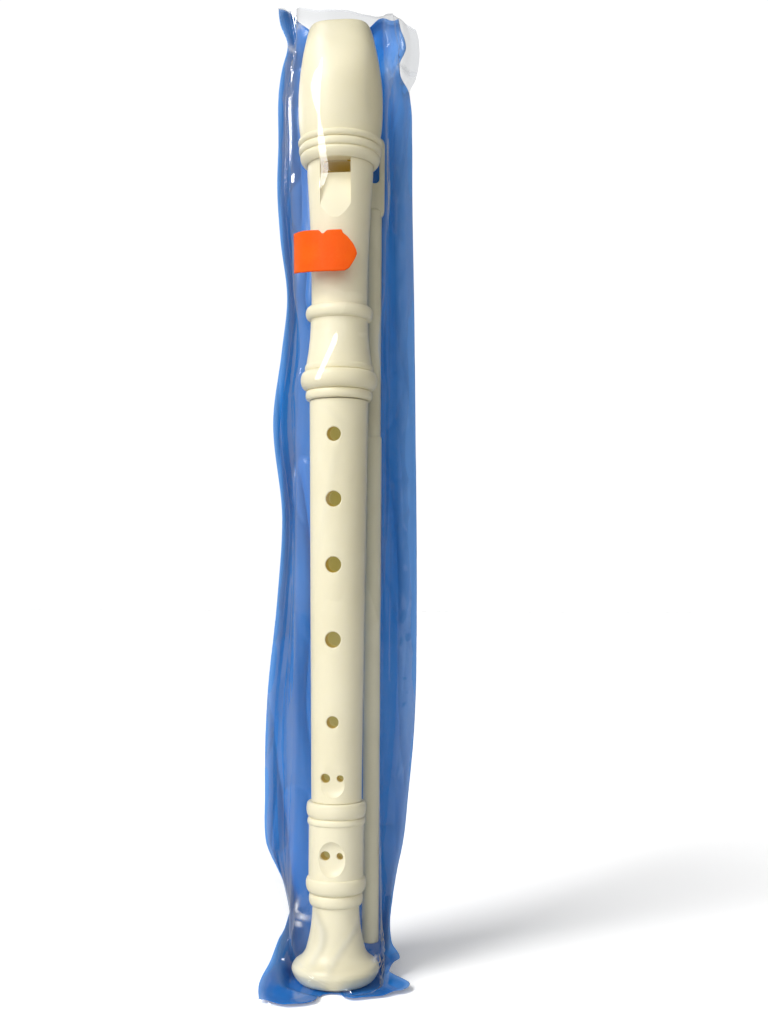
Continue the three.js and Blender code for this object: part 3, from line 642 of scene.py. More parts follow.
def runs(marks, z):
    """The second and the third value of marks that start with a height."""
    return run([m[:2] for m in marks], z), run([m[::2] for m in marks], z)


def grain(across, up, seed):
    """Noise at an array of places, one unit to a wave."""
    across, up = np.broadcast_arrays(across, up)
    values = [noise.noise(Vector((a, b, seed))) for a, b in zip(across.flat, up.flat)]
    return np.array(values).reshape(across.shape)


def folds(across, up, seed, sharpness=6):
    """Thin raised creases, from 0 to 1."""
    return np.clip(1 - np.abs(grain(across, up, seed)), 0, 1) ** sharpness


def sheet_faces(rows, columns):
    return [(v * columns + u, v * columns + u + 1, (v + 1) * columns + u + 1, (v + 1) * columns + u)
            for v in range(rows - 1) for u in range(columns - 1)]


def film(name, x, y, z):
    return make(name, np.stack([x, y, z], -1).reshape(-1, 3), sheet_faces(*x.shape))


def loose(from_edge, z):
    """Patches beside the right weld where the clear film stands a little off the blue one."""
    patch = grain(from_edge / 7, z / 10, 8.8) + 0.3 * grain(from_edge / 2.2, z / 3, 5.2)
    inner = 4.6 + 1.8 * grain(0, z / 7, 6.1)
    outer = 1.9 + 0.6 * grain(0, z / 5, 2.6)
    strip = band(from_edge, outer, outer + 0.6, inner, inner + 0.9)
    return ease(patch, -0.1, 0.15) * strip * band(z, 50, 80, 286, 310)


BLUE_ROWS, BLUE_COLUMNS, BLUE_FLOOR_ROWS = 330, 150, 60
# The blue film's side edges start at a low height and climb while the film crosses the floor.
EDGE_LOW, EDGE_CLIMB, EDGE_CURVE = 0.4, 17, 1.3
FLOOR_FILM_Z = 0.2
LOBE_HEIGHT = 1.6
# Low on the left it ends short of the clear film: how far, and at which heights
BLUE_SHORT, SHORT_BAND = 3.2, (17, 25, 30, 47)
# Beside the bell it rises to its side edges, over this width and outside these places
SIDE_RISE, BELL_LEFT, BELL_RIGHT = 9, -15.5, 15.6
# How far its upper corners lean back, and the edge of the mouth curls forwards
LEAN_LEFT, LEAN_RIGHT, CURL = 4.5, 5.5, 2.2
PINCH_Z, PINCH_HEIGHT = 325, 3.2
# How much paler blue is painted in as light beside the right weld, and in loose patches
PAINTED_PALE_BESIDE_WELD, PAINTED_PALE_PATCH = 0.75, 0.9


def back_film():
    """The blue film: its two lobes on the floor, under the bell, and up the back."""
    t = np.linspace(0, 1, BLUE_ROWS)[:, None]
    u = np.linspace(0, 1, BLUE_COLUMNS)[None, :]
    floor_share = BLUE_FLOOR_ROWS / (BLUE_ROWS - 1)
    along_floor = np.clip(t / floor_share, 0, 1)
    up_wall = np.clip((t - floor_share) / (1 - floor_share), 0, 1)
    climb = EDGE_LOW + EDGE_CLIMB * along_floor ** EDGE_CURVE
    wall_low = EDGE_LOW + EDGE_CLIMB
    left_z = climb + (BLUE_TOP[0][1] - wall_low) * up_wall
    right_z = climb + (RIGHT_SIDE[-1][0] - wall_low) * up_wall
    left_x, left_y = runs(LEFT_SIDE, left_z)
    right_x, right_y = runs(RIGHT_SIDE, right_z)
    left_x = left_x + BLUE_SHORT * band(left_z, *SHORT_BAND)
    x = left_x + (right_x - left_x) * u
    top = run(BLUE_TOP, x)
    front = run(BOTTOM_EDGE, x)
    middle_y = front + (ROOM_BEHIND - front) * along_floor
    middle_z = FLOOR_FILM_Z + (top - FLOOR_FILM_Z) * up_wall
    near_left = 1 - ease(x, left_x, np.minimum(left_x + SIDE_RISE, BELL_LEFT))
    near_right = ease(x, np.maximum(right_x - SIDE_RISE, BELL_RIGHT), right_x)
    y = middle_y + near_left * (left_y - middle_y) + near_right * (right_y - middle_y)
    z = middle_z + near_left * (left_z - middle_z) + near_right * (right_z - middle_z)
    # The wall bulges in the middle, waves towards its sides and has creases all over.
    on_wall = ease(up_wall, 0.0, 0.05)
    free = np.maximum(near_left, near_right)
    bulge = 1.2 + 1.0 * grain(x / 13, z / 46, 3.1)
    waves = 0.9 * grain(x / 9, z / 60, 7.7) + 0.5 * folds(x / 7, z / 70, 9.2)
    y = y + on_wall * (np.maximum(bulge, 0) * (1 - free) + waves * (0.3 + 0.7 * free) - 0.6 * free)
    creases = 1.6 * folds(x / 10 + z / 160, z / 80, 6.3, 5) + 1.1 * folds(x / 16, z / 22, 3.7, 8)
    y = y + on_wall * creases * (1 - 0.7 * free)
    # The upper corners and the edge of the mouth
    lean_left = ease(-x, 9, 15) * ease(z, 331, 345)
    lean_right = ease(x, 6, 12) * ease(z, 323, 341)
    y = y + LEAN_LEFT * lean_left + LEAN_RIGHT * lean_right
    curl = ease(z, top - 2.4, top) * ease(x, 8, 12)
    y = y - CURL * curl
    pinch = hump(z, PINCH_Z, PINCH_HEIGHT) * ease(x, 13, 18)
    y = y + pinch * (0.9 * grain(x / 2.4, z / 1.6, 4.2) - 0.5)
    # The lobes on the floor are uneven, outside the bell and in front of the rod.
    lobes = (1 - on_wall) * (0.5 + 0.5 * grain(x / 8, y / 8, 2.4)) * LOBE_HEIGHT
    outside = ease(np.hypot(x, y), 16, 20) * (1 - ease(y, 4, 10))
    z = z + lobes * outside
    piece = film("pouch_blue_film", x, y, z)
    # The welds, the strip beside the right weld and the loose patches are painted paler blue, standing in for
    # light on them
    weld = np.maximum(1 - ease(x, left_x, left_x + WELD_WIDTH), ease(x, right_x - WELD_WIDTH, right_x))
    beside = PAINTED_PALE_BESIDE_WELD * ease(x, right_x - 8.5, right_x - 4) * ease(z, 40, 90)
    mark_vertices(piece, "weld", np.maximum.reduce([weld, beside, PAINTED_PALE_PATCH * loose(right_x - x, z)]))
    thicken(piece, SHEET_THICKNESS)
    return piece


CLEAR_ROWS, CLEAR_COLUMNS = 330, 190
# How close the clear film lies round the recorder: height and radius
DRAPE = [
    (0, 16), (30, 15.9), (60, 15.5), (120, 15.2), (180, 15), (198, 15.2), (205, 15.5), (207.5, 15.42),
    (209, 15.15), (214, 14.32), (218, 13.96), (222, 13.83), (225, 14.05), (230, 14.5), (239, 15.8),
    (250, 16.2), (256, 16.35), (262, 16.65), (268, 17.05), (273, 17.35), (276, 17.4), (280, 17.2),
    (284, 16.9), (288, 16.7), (292, 16.6), (296, 16.57), (301, 16.65), (308, 16.9), (314, 16.75), (320, 16.1),
    (334, 15.2)]
# Shares of the columns where the clear film's left weld, left side, front and right side end
BREAKS = (0.035, 0.24, 0.74, 0.93)
# It lies flat along the right side: how much wider than the weld, and at which heights
FLAT_MORE, FLAT_BAND = 4, (30, 45, 298, 314)
# It lies calm under the label: where along the film, and at which heights
CALM_RUN, CALM_BAND = (-25, -21, 6.5, 10), (238, 242, 259, 263)
# Heights between which it runs out to the bottom edge
RUN_OUT = (0.5, 9)


def flat_width(z):
    """How wide the clear film lies on the blue one at the right."""
    return WELD_WIDTH + FLAT_MORE * band(z, *FLAT_BAND)


def clear_section(z, u, left, right):
    """Place across, depth, run along the film from the front line, and the way out, at each point."""
    a, b, c, d = BREAKS
    (left_x, left_y), (right_x, right_y) = left, right
    radius = run(DRAPE, z)
    in_left = np.stack([left_x + WELD_WIDTH, left_y - 0.2], -1)
    in_right = np.stack([right_x - flat_width(z), right_y - 0.2], -1)

    def angle_of(p):
        return np.arctan2(p[..., 1], p[..., 0])

    def lean(p):
        return np.arccos(np.clip(radius / np.linalg.norm(p, axis=-1), -1, 1))

    touch_left = angle_of(in_left) + lean(in_left)
    touch_left = np.where(touch_left < 0, touch_left + 2 * np.pi, touch_left)
    touch_right = angle_of(in_right) - lean(in_right) + 2 * np.pi
    turn = touch_left + (touch_right - touch_left) * np.clip((u - b) / (c - b), 0, 1)
    on_arc = radius[..., None] * np.stack([np.cos(turn), np.sin(turn)], -1)
    left_edge = np.stack([left_x, left_y - 0.1], -1)
    right_edge = np.stack([right_x, right_y - 0.1], -1)
    share = u[..., None]
    left_weld = left_edge + (in_left - left_edge) * (share / a)
    left_span = in_left + (on_arc - in_left) * np.clip((share - a) / (b - a), 0, 1)
    right_span = on_arc + (in_right - on_arc) * np.clip((share - c) / (d - c), 0, 1)
    right_weld = in_right + (right_edge - in_right) * ((share - d) / (1 - d))
    place = np.select([share < a, share < b, share > d, share > c],
                      [left_weld, left_span, right_weld, right_span], on_arc)
    run_along = radius * (turn - 1.5 * np.pi)
    run_along = run_along - np.linalg.norm(on_arc - left_span, axis=-1) * (u < b)
    run_along = run_along + np.linalg.norm(on_arc - right_span, axis=-1) * (u > c)
    ahead = np.gradient(place, axis=1)
    out = np.stack([ahead[..., 1], -ahead[..., 0]], -1)
    out /= np.linalg.norm(out, axis=-1, keepdims=True) + 1e-9
    return place, run_along, out


def crease(along, z, marks, width, height):
    """A crease along its marks, which fades at both ends."""
    low, high = marks[0][0], marks[-1][0]
    fade = band(z, low - 4, low + 6, high - 6, high + 4)
    middle, slope = runs(marks, z)
    off = along - middle
    return fade * (height + slope * off) * hump(off, 0, width)


# Creases of the clear film: marks of height, run along the film and slope across, then width and height
CREASES = [
    ([(270, -5.5, 0.03), (277, -4.6, 0.11), (284, -5, 0.07), (291, -6.3, 0), (301, -8.4, -0.14),
      (312, -11.2, -0.26)], 10, 0),
    ([(202, -9, -0.15), (209.6, -6.5, -0.08), (216, -3.7, 0.12), (222, -1, 0.3), (230, 1.6, 0.4)], 10, 0),
    ([(282, -22, 0), (294, -22.6, 0), (306, -22, 0)], 3, 1.2),
    ([(14, -19, 0), (24, -15, 0), (34, -13, 0)], 1.6, 0.8),
]
# Fine lines where the clear film is folded, drawn as painted highlights: marks as above, and how strongly
# they show
LINES = [
    ([(188, 0.6, 0), (194, -0.8, 0), (199, -5.5, 0)], 0.2),
    ([(150, -7.4, 0), (170, -3.5, 0), (186, -1, 0)], 0.2),
    ([(8, -10.5, 0), (12, -8, 0), (17.5, -5.2, 0), (21.6, -4.8, 0), (27, -7, 0), (31, -8.4, 0)], 0.9),
    ([(5, -4.6, 0), (10.6, -1.6, 0), (16.1, 1.8, 0), (22.3, 6.2, 0), (28, 9.4, 0)], 0.8),
    ([(296, 9.6, 0), (310, 8.6, 0), (322, 9.6, 0)], 0.2),
]
# Painted glints on the clear film: height, run along the film, half height and half width
PAINTED_GLINTS = [(26.4, -11.3, 0.8, 2.6), (23.5, -13.6, 0.8, 1.4), (28.9, -13.2, 2.2, 0.7), (11.4, 14.9, 0.9, 1.1)]
GLINT_SHARE = 2.2
LINE_SHARE = 0.4
LINE_WIDTH = 0.9
# Each line has a painted grey shade on one side: how far beside it, and how wide
SHADE_OFFSET, SHADE_WIDTH = 1.3, 1.1
# Crumpled places of the clear film: height, run along the film, size and depth
CRUMPLES = [(28, -11, 4.5, 2.2), (12, 19, 7, 1.8), (326, 30, 5, 1.5), (318, -22, 6, 1.2)]


def front_film():
    """The clear film: from weld to weld round the front of the recorder, down to the floor's edge."""
    v = np.linspace(0, 1, CLEAR_ROWS)[:, None]
    u = np.broadcast_to(np.linspace(0, 1, CLEAR_COLUMNS)[None, :], (CLEAR_ROWS, CLEAR_COLUMNS))
    low, first_top = 0.6, 336
    z = low + (first_top - low) * v + 0 * u
    # The upper edge depends on the place across, so both are found in two rounds.
    for _ in range(2):
        left = runs(LEFT_SIDE, z)
        right_x, right_y = runs(RIGHT_SIDE, z)
        right_x = np.where(z > TAB_SIDE[0][0], run(TAB_SIDE, z), right_x)
        place, along, out = clear_section(z, u, left, (right_x, right_y))
        top = run(CLEAR_TOP, place[..., 0])
        z = low + (top - low) * v
    x, y = place[..., 0], place[..., 1]
    a, b, c, d = BREAKS
    # Slack at the sides, between weld and recorder, and none under the label
    sides = (u < b) | (u > c)
    span = np.where(u < b, np.clip((u - a) / (b - a), 0, 1), np.clip((d - u) / (d - c), 0, 1))
    slack = np.sin(np.pi * span) ** 2 * sides
    calm = 1 - band(along, *CALM_RUN) * band(z, *CALM_BAND)
    push = slack * (-0.7 + 0.9 * grain(along / 11, z / 48, 5.5) + 0.7 * folds(along / 8, z / 70, 1.3))
    push += (1 - slack) * 0.3 * folds(along / 12, z / 50, 4.4, 3) * ease(span + 1 - sides, 0, 0.3)
    from_edge = np.where(u > d, (1 - u) / (1 - d) * flat_width(z), flat_width(z) + (d - u) * 120)
    push = (push + 0.15 * loose(from_edge, z) * (u > c)) * calm
    for z0, along0, size, height in CRUMPLES:
        near = hump(z, z0, size) * hump(along, along0, size)
        push += height * near * folds(along / 3.5, z / 2.5, z0, 3)
    for marks, width, height in CREASES:
        push += crease(along, z, marks, width, height) * calm
    x = x + out[..., 0] * push
    y = y + out[..., 1] * push
    # Near the floor the film runs out to the bottom edge of the blue one.
    near_floor = (1 - ease(z, *RUN_OUT)) ** 2
    edge_y = run(BOTTOM_EDGE, np.clip(x * 1.02, -25, 25))
    y = y + np.minimum(edge_y - y, 0) * near_floor
    piece = film("pouch_clear_film", x, y, z)
    weld = np.maximum(1 - ease(u, 0.8 * a, 1.1 * a), 1 - ease(from_edge, 2.4, 3))
    mark_vertices(piece, "weld", weld)
    mark_smoke_and_milk(piece, x, z, along, top)
    return piece


def mark_smoke_and_milk(piece, x, z, along, top):
    """Marks where the clear film is grey: at its tab and lip, and as painted shade beside its folds; and
    where it is whitened or carries painted highlights, glints and sheen.
    """
    tab = ease(x, 20.5, 22.5) * ease(z, 313, 319)
    lip = 0.75 * (1 - ease(top - z, 2, 9))
    painted_fold_shades = [crease(along - SHADE_OFFSET, z, marks, SHADE_WIDTH, share) for marks, share in LINES]
    mark_vertices(piece, "grey_and_painted_shade", np.maximum.reduce([tab, lip, *painted_fold_shades]))
    tab_band = hump(z, 323.2, 1.1) * ease(x, 18.5, 20.5)
    left_band = hump(z + 0.44 * (x + 18.7), 331.7, 1.2) * (1 - ease(x, -14, -11.5))
    rim = 1 - ease(top - z, 0.2, 0.9)
    # Painted sheen on the upper left of the clear film
    left_sheen = 0.25 * ease(-x, 15, 18) * band(z, 270, 300, 325, 333)
    right_haze = 0.16 * ease(x, 11, 14) * ease(z, 312, 328)
    # Painted highlights along the fold lines
    lines = [crease(along, z, marks, LINE_WIDTH, LINE_SHARE * share) for marks, share in LINES]
    # Painted glints
    painted_glints = [GLINT_SHARE * hump(z, up, tall) * hump(along, over, wide) for up, over, tall, wide in PAINTED_GLINTS]
    milk_and_painted_highlights = [tab_band, left_band, rim, left_sheen, right_haze, *lines, *painted_glints]
    mark_vertices(piece, "milk_and_painted_highlights", np.maximum.reduce(milk_and_painted_highlights))


LABEL_COLUMNS, LABEL_ROWS = 90, 24
LABEL_MIDDLE = 250.2
LABEL_LIFT = 0.12
# The label's upper right end stands off: from where along it, and how steeply
LABEL_CURL_FROM, LABEL_CURL = 2, 0.0625
# Edges of the label: run along the film, and height over its middle
LABEL_UPPER = [
    (-20.8, 8.3), (-14, 7.9), (-7.5, 7.2), (-6.9, 6.8), (-6.2, 6), (-5.5, 6), (-4.6, 6.8), (-4, 7),
    (0.6, 7.1), (0.9, 6.1), (2.5, 4.9), (4.4, 2.7), (5.5, 0.6), (5.8, -0.4)]
LABEL_LOWER = [
    (-20.8, -5.1), (-14, -6.1), (-8, -6.6), (-2, -6.8), (1.6, -6.6), (3.2, -5.6), (4.8, -3), (5.6, -1.3),
    (5.8, -0.6)]


def price_label():
    """The bare label, with a notch in its upper edge, a torn tab and a rounded right end."""
    start, end = LABEL_UPPER[0][0], LABEL_UPPER[-1][0]
    points = []
    for along in np.linspace(start, end, LABEL_COLUMNS):
        high = np.interp(along, *np.array(LABEL_UPPER).T)
        low = np.interp(along, *np.array(LABEL_LOWER).T)
        for share in np.linspace(0, 1, LABEL_ROWS):
            z = LABEL_MIDDLE + low + (high - low) * share
            radius = run(DRAPE, z) + LABEL_LIFT
            turn = along / radius
            out = radius + LABEL_CURL * max(0, along - LABEL_CURL_FROM) * share
            points.append((out * math.sin(turn), -out * math.cos(turn), z))
    piece = make("price_label_paper", points, sheet_faces(LABEL_COLUMNS, LABEL_ROWS))
    outwards(piece)
    thicken(piece, SHEET_THICKNESS)
    return piece


# Materials

class Surface:
    """A material's nodes, added one at a time."""

    def __init__(self, name, world=None):
        self.material = world or bpy.data.materials.new(name)
        self.material.use_nodes = True
        self.tree = self.material.node_tree
        self.tree.nodes.clear()
        self.output = self.tree.nodes.new("ShaderNodeOutputWorld" if world else "ShaderNodeOutputMaterial")

    def node(self, kind, settings=None, **inputs):
        made = self.tree.nodes.new("ShaderNode" + kind)
        for key, value in (settings or {}).items():
            setattr(made, key, value)
        for key, value in inputs.items():
            self.feed(made.inputs[key.replace("_", " ")], value)
        return made

    def feed(self, socket, value):
        if isinstance(value, bpy.types.NodeSocket):
            self.tree.links.new(value, socket)
        else:
            socket.default_value = value

    def wire(self, made, *values):
        """Feeds a node's inputs in their order."""
        for socket, value in zip(made.inputs, values):
            self.feed(socket, value)
        return made.outputs[0]

    def shown(self, shader):
        self.feed(self.output.inputs["Surface"], shader)
        return self.material

    def marked(self, name):
        return self.node("Attribute", {"attribute_name": name}).outputs["Fac"]

    def math(self, operation, first, second):
        return self.wire(self.node("Math", {"operation": operation}), first, second)

    def noise(self, scale, detail=3.0, stretch=None):
        where = self.node("TexCoord").outputs["Object"]
        if stretch:
            where = self.node("Mapping", Vector=where, Scale=stretch).outputs["Vector"]
        return self.node("TexNoise", Vector=where, Scale=scale, Detail=detail).outputs["Fac"]

    def spread(self, value, low, high, at_low=0.3, at_high=0.7, kind="SMOOTHSTEP"):
        """A value carried over to the range from low to high."""
        made = self.node("MapRange", {"interpolation_type": kind})
        return self.wire(made, value, at_low, at_high, low, high)

    def spread_evenly(self, value, low, high):
        return self.spread(value, low, high, 0, 1, "LINEAR")

    def blend(self, share, first, second):
        made = self.node("Mix", {"data_type": "RGBA"})
        self.feed(made.inputs["Factor"], share)
        colours = [s for s in made.inputs if s.type == "RGBA"]
        self.feed(colours[0], first)
        self.feed(colours[1], second)
        return [s for s in made.outputs if s.type == "RGBA"][0]

    def bump(self, height, strength, distance):
        return self.node("Bump", Height=height, Strength=strength, Distance=distance).outputs["Normal"]

    def principled(self, **inputs):
        return self.node("BsdfPrincipled", **inputs).outputs[0]

    def mix(self, share, first, second):
        return self.wire(self.node("MixShader"), share, first, second)


def rgb(red, green, blue):
    """Linear colour from the eight-bit values of a screen."""
    def linear(value):
        share = value / 255
        return share / 12.92 if share <= 0.04045 else ((share + 0.055) / 1.055) ** 2.4
    return (linear(red), linear(green), linear(blue), 1.0)


PLASTIC_IOR = 1.5
# Painted golden shade on the walls of the bore and the holes, and a painted glow there, in place of bounced
# light and light let through the walls
PAINTED_WALL_GLOW = 0.45
HOLE_WALL_SHADE, BORE_WALL_SHADE = rgb(150, 122, 4), rgb(170, 159, 88)


def ivory_plastic():
    """Satin plastic. The bore and the holes get a painted golden shade and a painted glow, in place of light
    bounced inside them and let through their walls.
    """
    s = Surface("ivory_plastic")
    colour = s.blend(s.spread(s.noise(28), 0, 1), rgb(244, 235, 201), rgb(239, 229, 192))
    colour = s.blend(s.spread(s.noise(900, 2), 0, 0.12), colour, rgb(249, 241, 214))
    inside_shade = s.marked("inside_shade")
    colour = s.blend(s.spread(inside_shade, 0, 1, 0.02, 0.3), colour, HOLE_WALL_SHADE)
    colour = s.blend(s.spread(inside_shade, 0, 1, 0.75, 1), colour, BORE_WALL_SHADE)
    rough = s.spread(s.noise(160), 0.32, 0.42)
    return s.shown(s.principled(
        Base_Color=colour, Roughness=rough, IOR=PLASTIC_IOR, Normal=s.bump(s.noise(2200, 2), 0.05, 0.0002),
        Subsurface_Weight=0.08, Subsurface_Radius=(1.0, 0.95, 0.5), Subsurface_Scale=0.002,
        Emission_Color=colour, Emission_Strength=s.spread(inside_shade, 0, PAINTED_WALL_GLOW, 0.02, 0.3)))


def rod_plastic():
    s = Surface("rod_plastic")
    colour = s.blend(s.spread(s.noise(45), 0, 1), rgb(223, 217, 187), rgb(214, 207, 176))
    return s.shown(s.principled(
        Base_Color=colour, Roughness=s.spread(s.noise(220), 0.36, 0.5),
        Normal=s.bump(s.noise(1500, 2), 0.08, 0.0002)))


# Painted glow of the blue film, in place of light from the room behind it
PAINTED_BLUE_GLOW = 0.025
DEEP_BLUE = rgb(18, 110, 196)


def blue_film():
    """Blue film, with a painted glow in place of light from the pale room behind it, and painted paler blue
    at its welds and in patches beside the right weld.
    """
    s = Surface("blue_film")
    colour = s.blend(s.spread(s.noise(55, 3, (1, 1, 0.3)), 0, 1), DEEP_BLUE, rgb(30, 122, 206))
    # Paler blue at the welds, beside the right weld and in patches there is painted light
    colour = s.blend(s.spread(s.marked("weld"), 0, 0.85, 0, 1), colour, rgb(104, 158, 224))
    wrinkles = s.noise(180, 3, (1, 1, 0.25))
    return s.shown(s.principled(
        Base_Color=colour, Roughness=s.spread(s.noise(120), 0.14, 0.26), IOR=PLASTIC_IOR,
        Normal=s.bump(wrinkles, 0.1, 0.0008), Emission_Color=DEEP_BLUE, Emission_Strength=PAINTED_BLUE_GLOW))


FILM_ROUGHNESS = 0.07
# Shares of gloss, face on and edge on, and of a white veil, which also carries the painted highlights, glints
# and sheen
FILM_GLOSS, EDGE_GLOSS = 0.07, 0.8
FILM_VEIL, WELD_VEIL, MILK_AND_HIGHLIGHT_VEIL = 0.015, 0.05, 0.4


def clear_film():
    """Clear film: what is behind shows through, dimmer where it is doubled, milky on its bands and edges,
    with painted shade, highlights, glints and sheen.
    """
    s = Surface("clear_film")
    normal = s.bump(s.noise(150, 3, (1, 1, 0.3)), 0.05, 0.0008)
    # Grey at the tab and lip, and painted shade beside the fold lines
    through = s.node("BsdfTransparent", Color=s.blend(
        s.marked("grey_and_painted_shade"), (0.98, 0.985, 0.995, 1), (0.77, 0.78, 0.79, 1))).outputs[0]
    tone = s.blend(s.noise(70), rgb(226, 231, 240), rgb(240, 243, 248))
    haze = s.principled(Base_Color=tone, Roughness=s.spread(s.noise(140), 0.1, 0.22), Normal=normal)
    veil = s.spread(s.noise(90, 3, (1, 1, 0.4)), 0, FILM_VEIL)
    veil = s.math("ADD", veil, s.math("MULTIPLY", s.marked("weld"), WELD_VEIL))
    veil = s.math("ADD", veil, s.math("MULTIPLY", s.marked("milk_and_painted_highlights"), MILK_AND_HIGHLIGHT_VEIL))
    shine = s.node("BsdfGlossy", Color=(1, 1, 1, 1), Roughness=FILM_ROUGHNESS, Normal=normal).outputs[0]
    facing = s.node("LayerWeight", Blend=0.5, Normal=normal).outputs["Facing"]
    edge = s.spread_evenly(s.math("POWER", facing, 5), FILM_GLOSS, EDGE_GLOSS)
    return s.shown(s.mix(edge, s.mix(veil, through, haze), shine))


PAPER_GLOW = 0.2


def label_paper():
    """Coated paper that lets some light through."""
    s = Surface("label")
    colour = s.blend(s.spread(s.noise(90), 0, 1), rgb(254, 104, 0), rgb(250, 94, 0))
    colour = s.blend(s.spread(s.noise(1400, 2), 0, 0.1), colour, rgb(255, 132, 40))
    paper = s.principled(
        Base_Color=colour, Roughness=s.spread(s.noise(500), 0.5, 0.66),
        Normal=s.bump(s.noise(1800, 3), 0.12, 0.0002),
        Specular_IOR_Level=0.15, Coat_Weight=0.15, Coat_Roughness=0.16)
    glow = s.node("BsdfTranslucent", Color=colour).outputs[0]
    return s.shown(s.mix(PAPER_GLOW, paper, glow))


# Pieces on their bodies

# Edges that turn by more degrees than these stay sharp: on hard pieces, on films and on the label.
HARD_EDGE, FILM_EDGE, LABEL_EDGE = 34, 180, 60


def fit(piece, node, body, material, sharp=HARD_EDGE):
    piece.data.shade_smooth()
    piece.data.set_sharp_from_angle(angle=math.radians(sharp))
    piece.data.materials.clear()
    piece.data.materials.append(material)
    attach(piece, body)
    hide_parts(node)


# Maker, body, height, and the bore's painted golden shade: the distances from the axis between which it
# fades, its share, and the holes that have it on their walls
RECORDER = [
    (foot_joint, "foot", 0, (5.2, 7, 1, ())),
    (middle_joint, "middle", BODY_Z, (5.9, 7, 1, FINGER_HOLES)),
    (head_joint, "head", HEAD_Z, (6.05, 6.3, 0.7, ())),
    (mouthpiece, "head", HEAD_Z + CAP_Z, (6.05, 6.3, 0.7, ())),
    (fipple_block, "head", HEAD_Z + CAP_Z, (2, 4, 0.7, ()))]
ivory = ivory_plastic()
for builder, body, height, tone in RECORDER:
    made = builder()
    mark_inside(made, *tone)
    place_on_recorder(made, height)
    fit(made, builder.__name__, body, ivory)
    if builder is head_joint:
        rise = (CAP_SEAT_RADIUS - LABIUM_DEPTH) / RAMP_LENGTH
        ramp_way = Vector((0, -1, rise)).normalized()
        ramp_way.rotate(Matrix.Rotation(RECORDER_TURN, 3, "Z"))
        crisp(made, ramp_way)

fit(cleaning_rod(), "cleaning_rod", "rod", rod_plastic())

blue = back_film()
fit(blue, "pouch_back_film", "pouch", blue_film(), FILM_EDGE)
clear = front_film()
fit(clear, "pouch_front_film", "pouch", clear_film(), FILM_EDGE)
label = price_label()
fit(label, "price_label", "pouch", label_paper(), LABEL_EDGE)


# Floor, light and camera

FLOOR_SIZE, FLOOR_Z = 6000, -0.3
# For the camera the floor comes out white and keeps its shadow. It throws back less light.
FLOOR_TONES = ((1.35, 1.35, 1.35, 1), (1.37, 1.37, 1.37, 1))
FLOOR_LIFT = 0.17
FLOOR_BOUNCE = (0.75, 0.75, 0.75, 1)
BACKDROP = 1.05
# Soft light from the front of the room, and the little that comes from elsewhere
FRONT_WAY = (-0.34, -0.94, -0.05)
FRONT_LIGHT, AMBIENT = 1.98, 0.04
# What glossy surfaces see of the room: its left, its pale backdrop and the rest
ROOM_LEFT, ROOM_BACK, ROOM_REST = 0.95, 0.35, 0.025
# Lamps: kind, place and target in metres, strength, and settings
LAMPS = {
    "key": ("SUN", (-0.77, -0.63, 1.05), (0, 0, 0), 1.45, {"angle": math.radians(20)}),
    "window": ("AREA", (-0.6, -0.6, 0.606), (0, 0, 0.28), 1.2,
               {"shape": "ELLIPSE", "size": 0.26, "size_y": 0.27}),
    "strip": ("AREA", (-0.55, 0.68, 0.607), (0, 0, 0.3), 0.6,
              {"shape": "RECTANGLE", "size": 0.32, "size_y": 0.07})}
# The camera: place in metres, turns in degrees, lens and sensor in millimetres, and shift of the picture
CAMERA_PLACE = (0, -0.4385, 0.1387)
CAMERA_YAW, CAMERA_PITCH, CAMERA_ROLL = -2.1, 90, 0.35
CAMERA_LENS, CAMERA_SENSOR = 44.3, 36
CAMERA_SHIFT = 72 / 1024


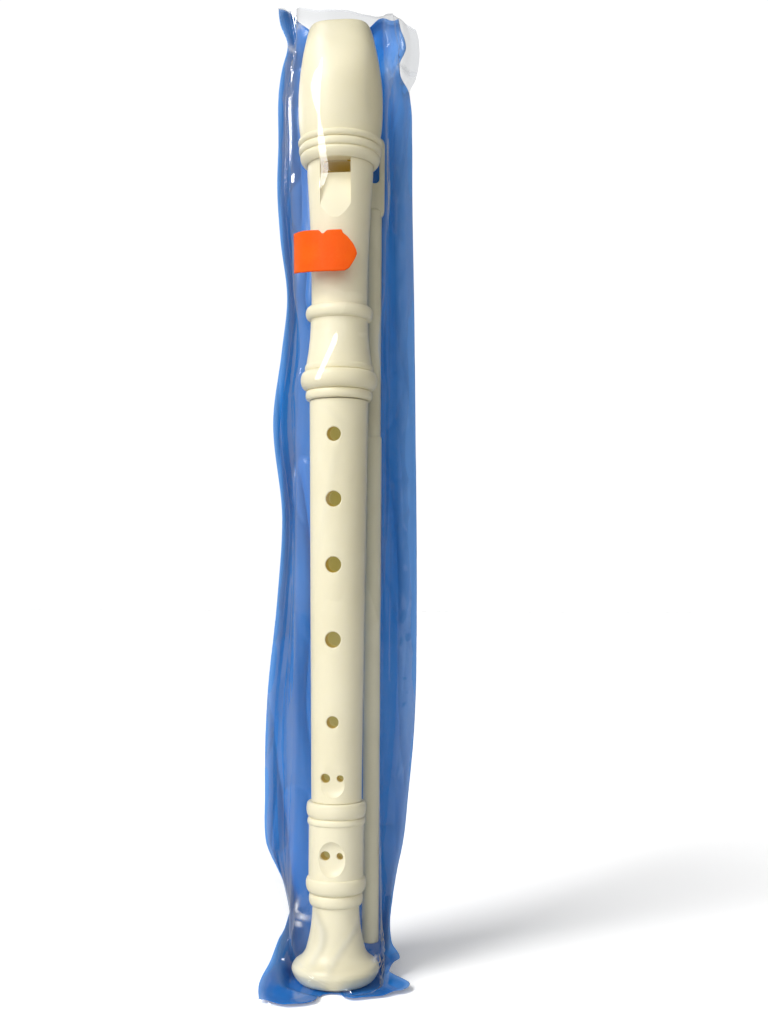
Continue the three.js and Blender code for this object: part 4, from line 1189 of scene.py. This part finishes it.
def studio_floor():
    corners = [(-1, -1), (1, -1), (1, 1), (-1, 1)]
    floor = make("floor", [(x * FLOOR_SIZE, y * FLOOR_SIZE, FLOOR_Z) for x, y in corners], [(0, 1, 2, 3)])
    s = Surface("floor")
    seen = s.node("LightPath").outputs["Is Camera Ray"]
    tone = s.blend(s.noise(3), *FLOOR_TONES)
    tone = s.blend(seen, FLOOR_BOUNCE, tone)
    base = s.node("BsdfDiffuse", Color=tone).outputs[0]
    lift = s.math("MULTIPLY", seen, FLOOR_LIFT)
    glow = s.node("Emission", Color=(1, 1, 1, 1), Strength=lift).outputs[0]
    floor.data.materials.append(s.shown(s.wire(s.node("AddShader"), base, glow)))


def studio_world():
    world = bpy.data.worlds.new("studio")
    bpy.context.scene.world = world
    s = Surface("studio", world)
    path = s.node("LightPath").outputs
    way = s.node("TexCoord").outputs["Generated"]
    toward = s.node("VectorMath", {"operation": "DOT_PRODUCT"})
    s.wire(toward, way, FRONT_WAY)
    soft = s.spread(toward.outputs["Value"], AMBIENT, FRONT_LIGHT, 0.2, 1)
    apart = s.node("SeparateXYZ", Vector=way).outputs
    room = s.math("MAXIMUM", s.spread(apart["X"], ROOM_LEFT, ROOM_REST, -1, 0),
                  s.spread(apart["Y"], ROOM_REST, ROOM_BACK, 0.3, 0.9))
    light = s.spread_evenly(path["Is Glossy Ray"], soft, room)
    seen = s.math("MAXIMUM", path["Is Camera Ray"], path["Is Transmission Ray"])
    strength = s.spread_evenly(seen, light, BACKDROP)
    s.shown(s.node("Background", Color=(1, 1, 1, 1), Strength=strength).outputs[0])


def lamp(name, kind, place, target, strength, settings):
    data = bpy.data.lights.new(name, kind)
    data.energy = strength
    for key, value in settings.items():
        setattr(data, key, value)
    holder = added(name, data)
    holder.location = place
    holder.rotation_mode = "QUATERNION"
    holder.rotation_quaternion = (Vector(target) - Vector(place)).to_track_quat("-Z", "Y")
    holder.visible_camera = False


def camera():
    data = bpy.data.cameras.new("camera")
    data.lens = CAMERA_LENS
    data.sensor_width = CAMERA_SENSOR
    data.clip_start, data.clip_end = 0.01, 100
    data.shift_y = CAMERA_SHIFT
    holder = added("camera", data)
    turn = Matrix.Identity(4)
    for degrees, axis in ((CAMERA_YAW, "Z"), (CAMERA_PITCH, "X"), (CAMERA_ROLL, "Z")):
        turn = turn @ Matrix.Rotation(math.radians(degrees), 4, axis)
    holder.matrix_world = Matrix.Translation(CAMERA_PLACE) @ turn
    bpy.context.scene.camera = holder


studio_floor()
studio_world()
for name, about in LAMPS.items():
    lamp(name, *about)
camera()
bpy.context.scene.view_settings.view_transform = "Standard"
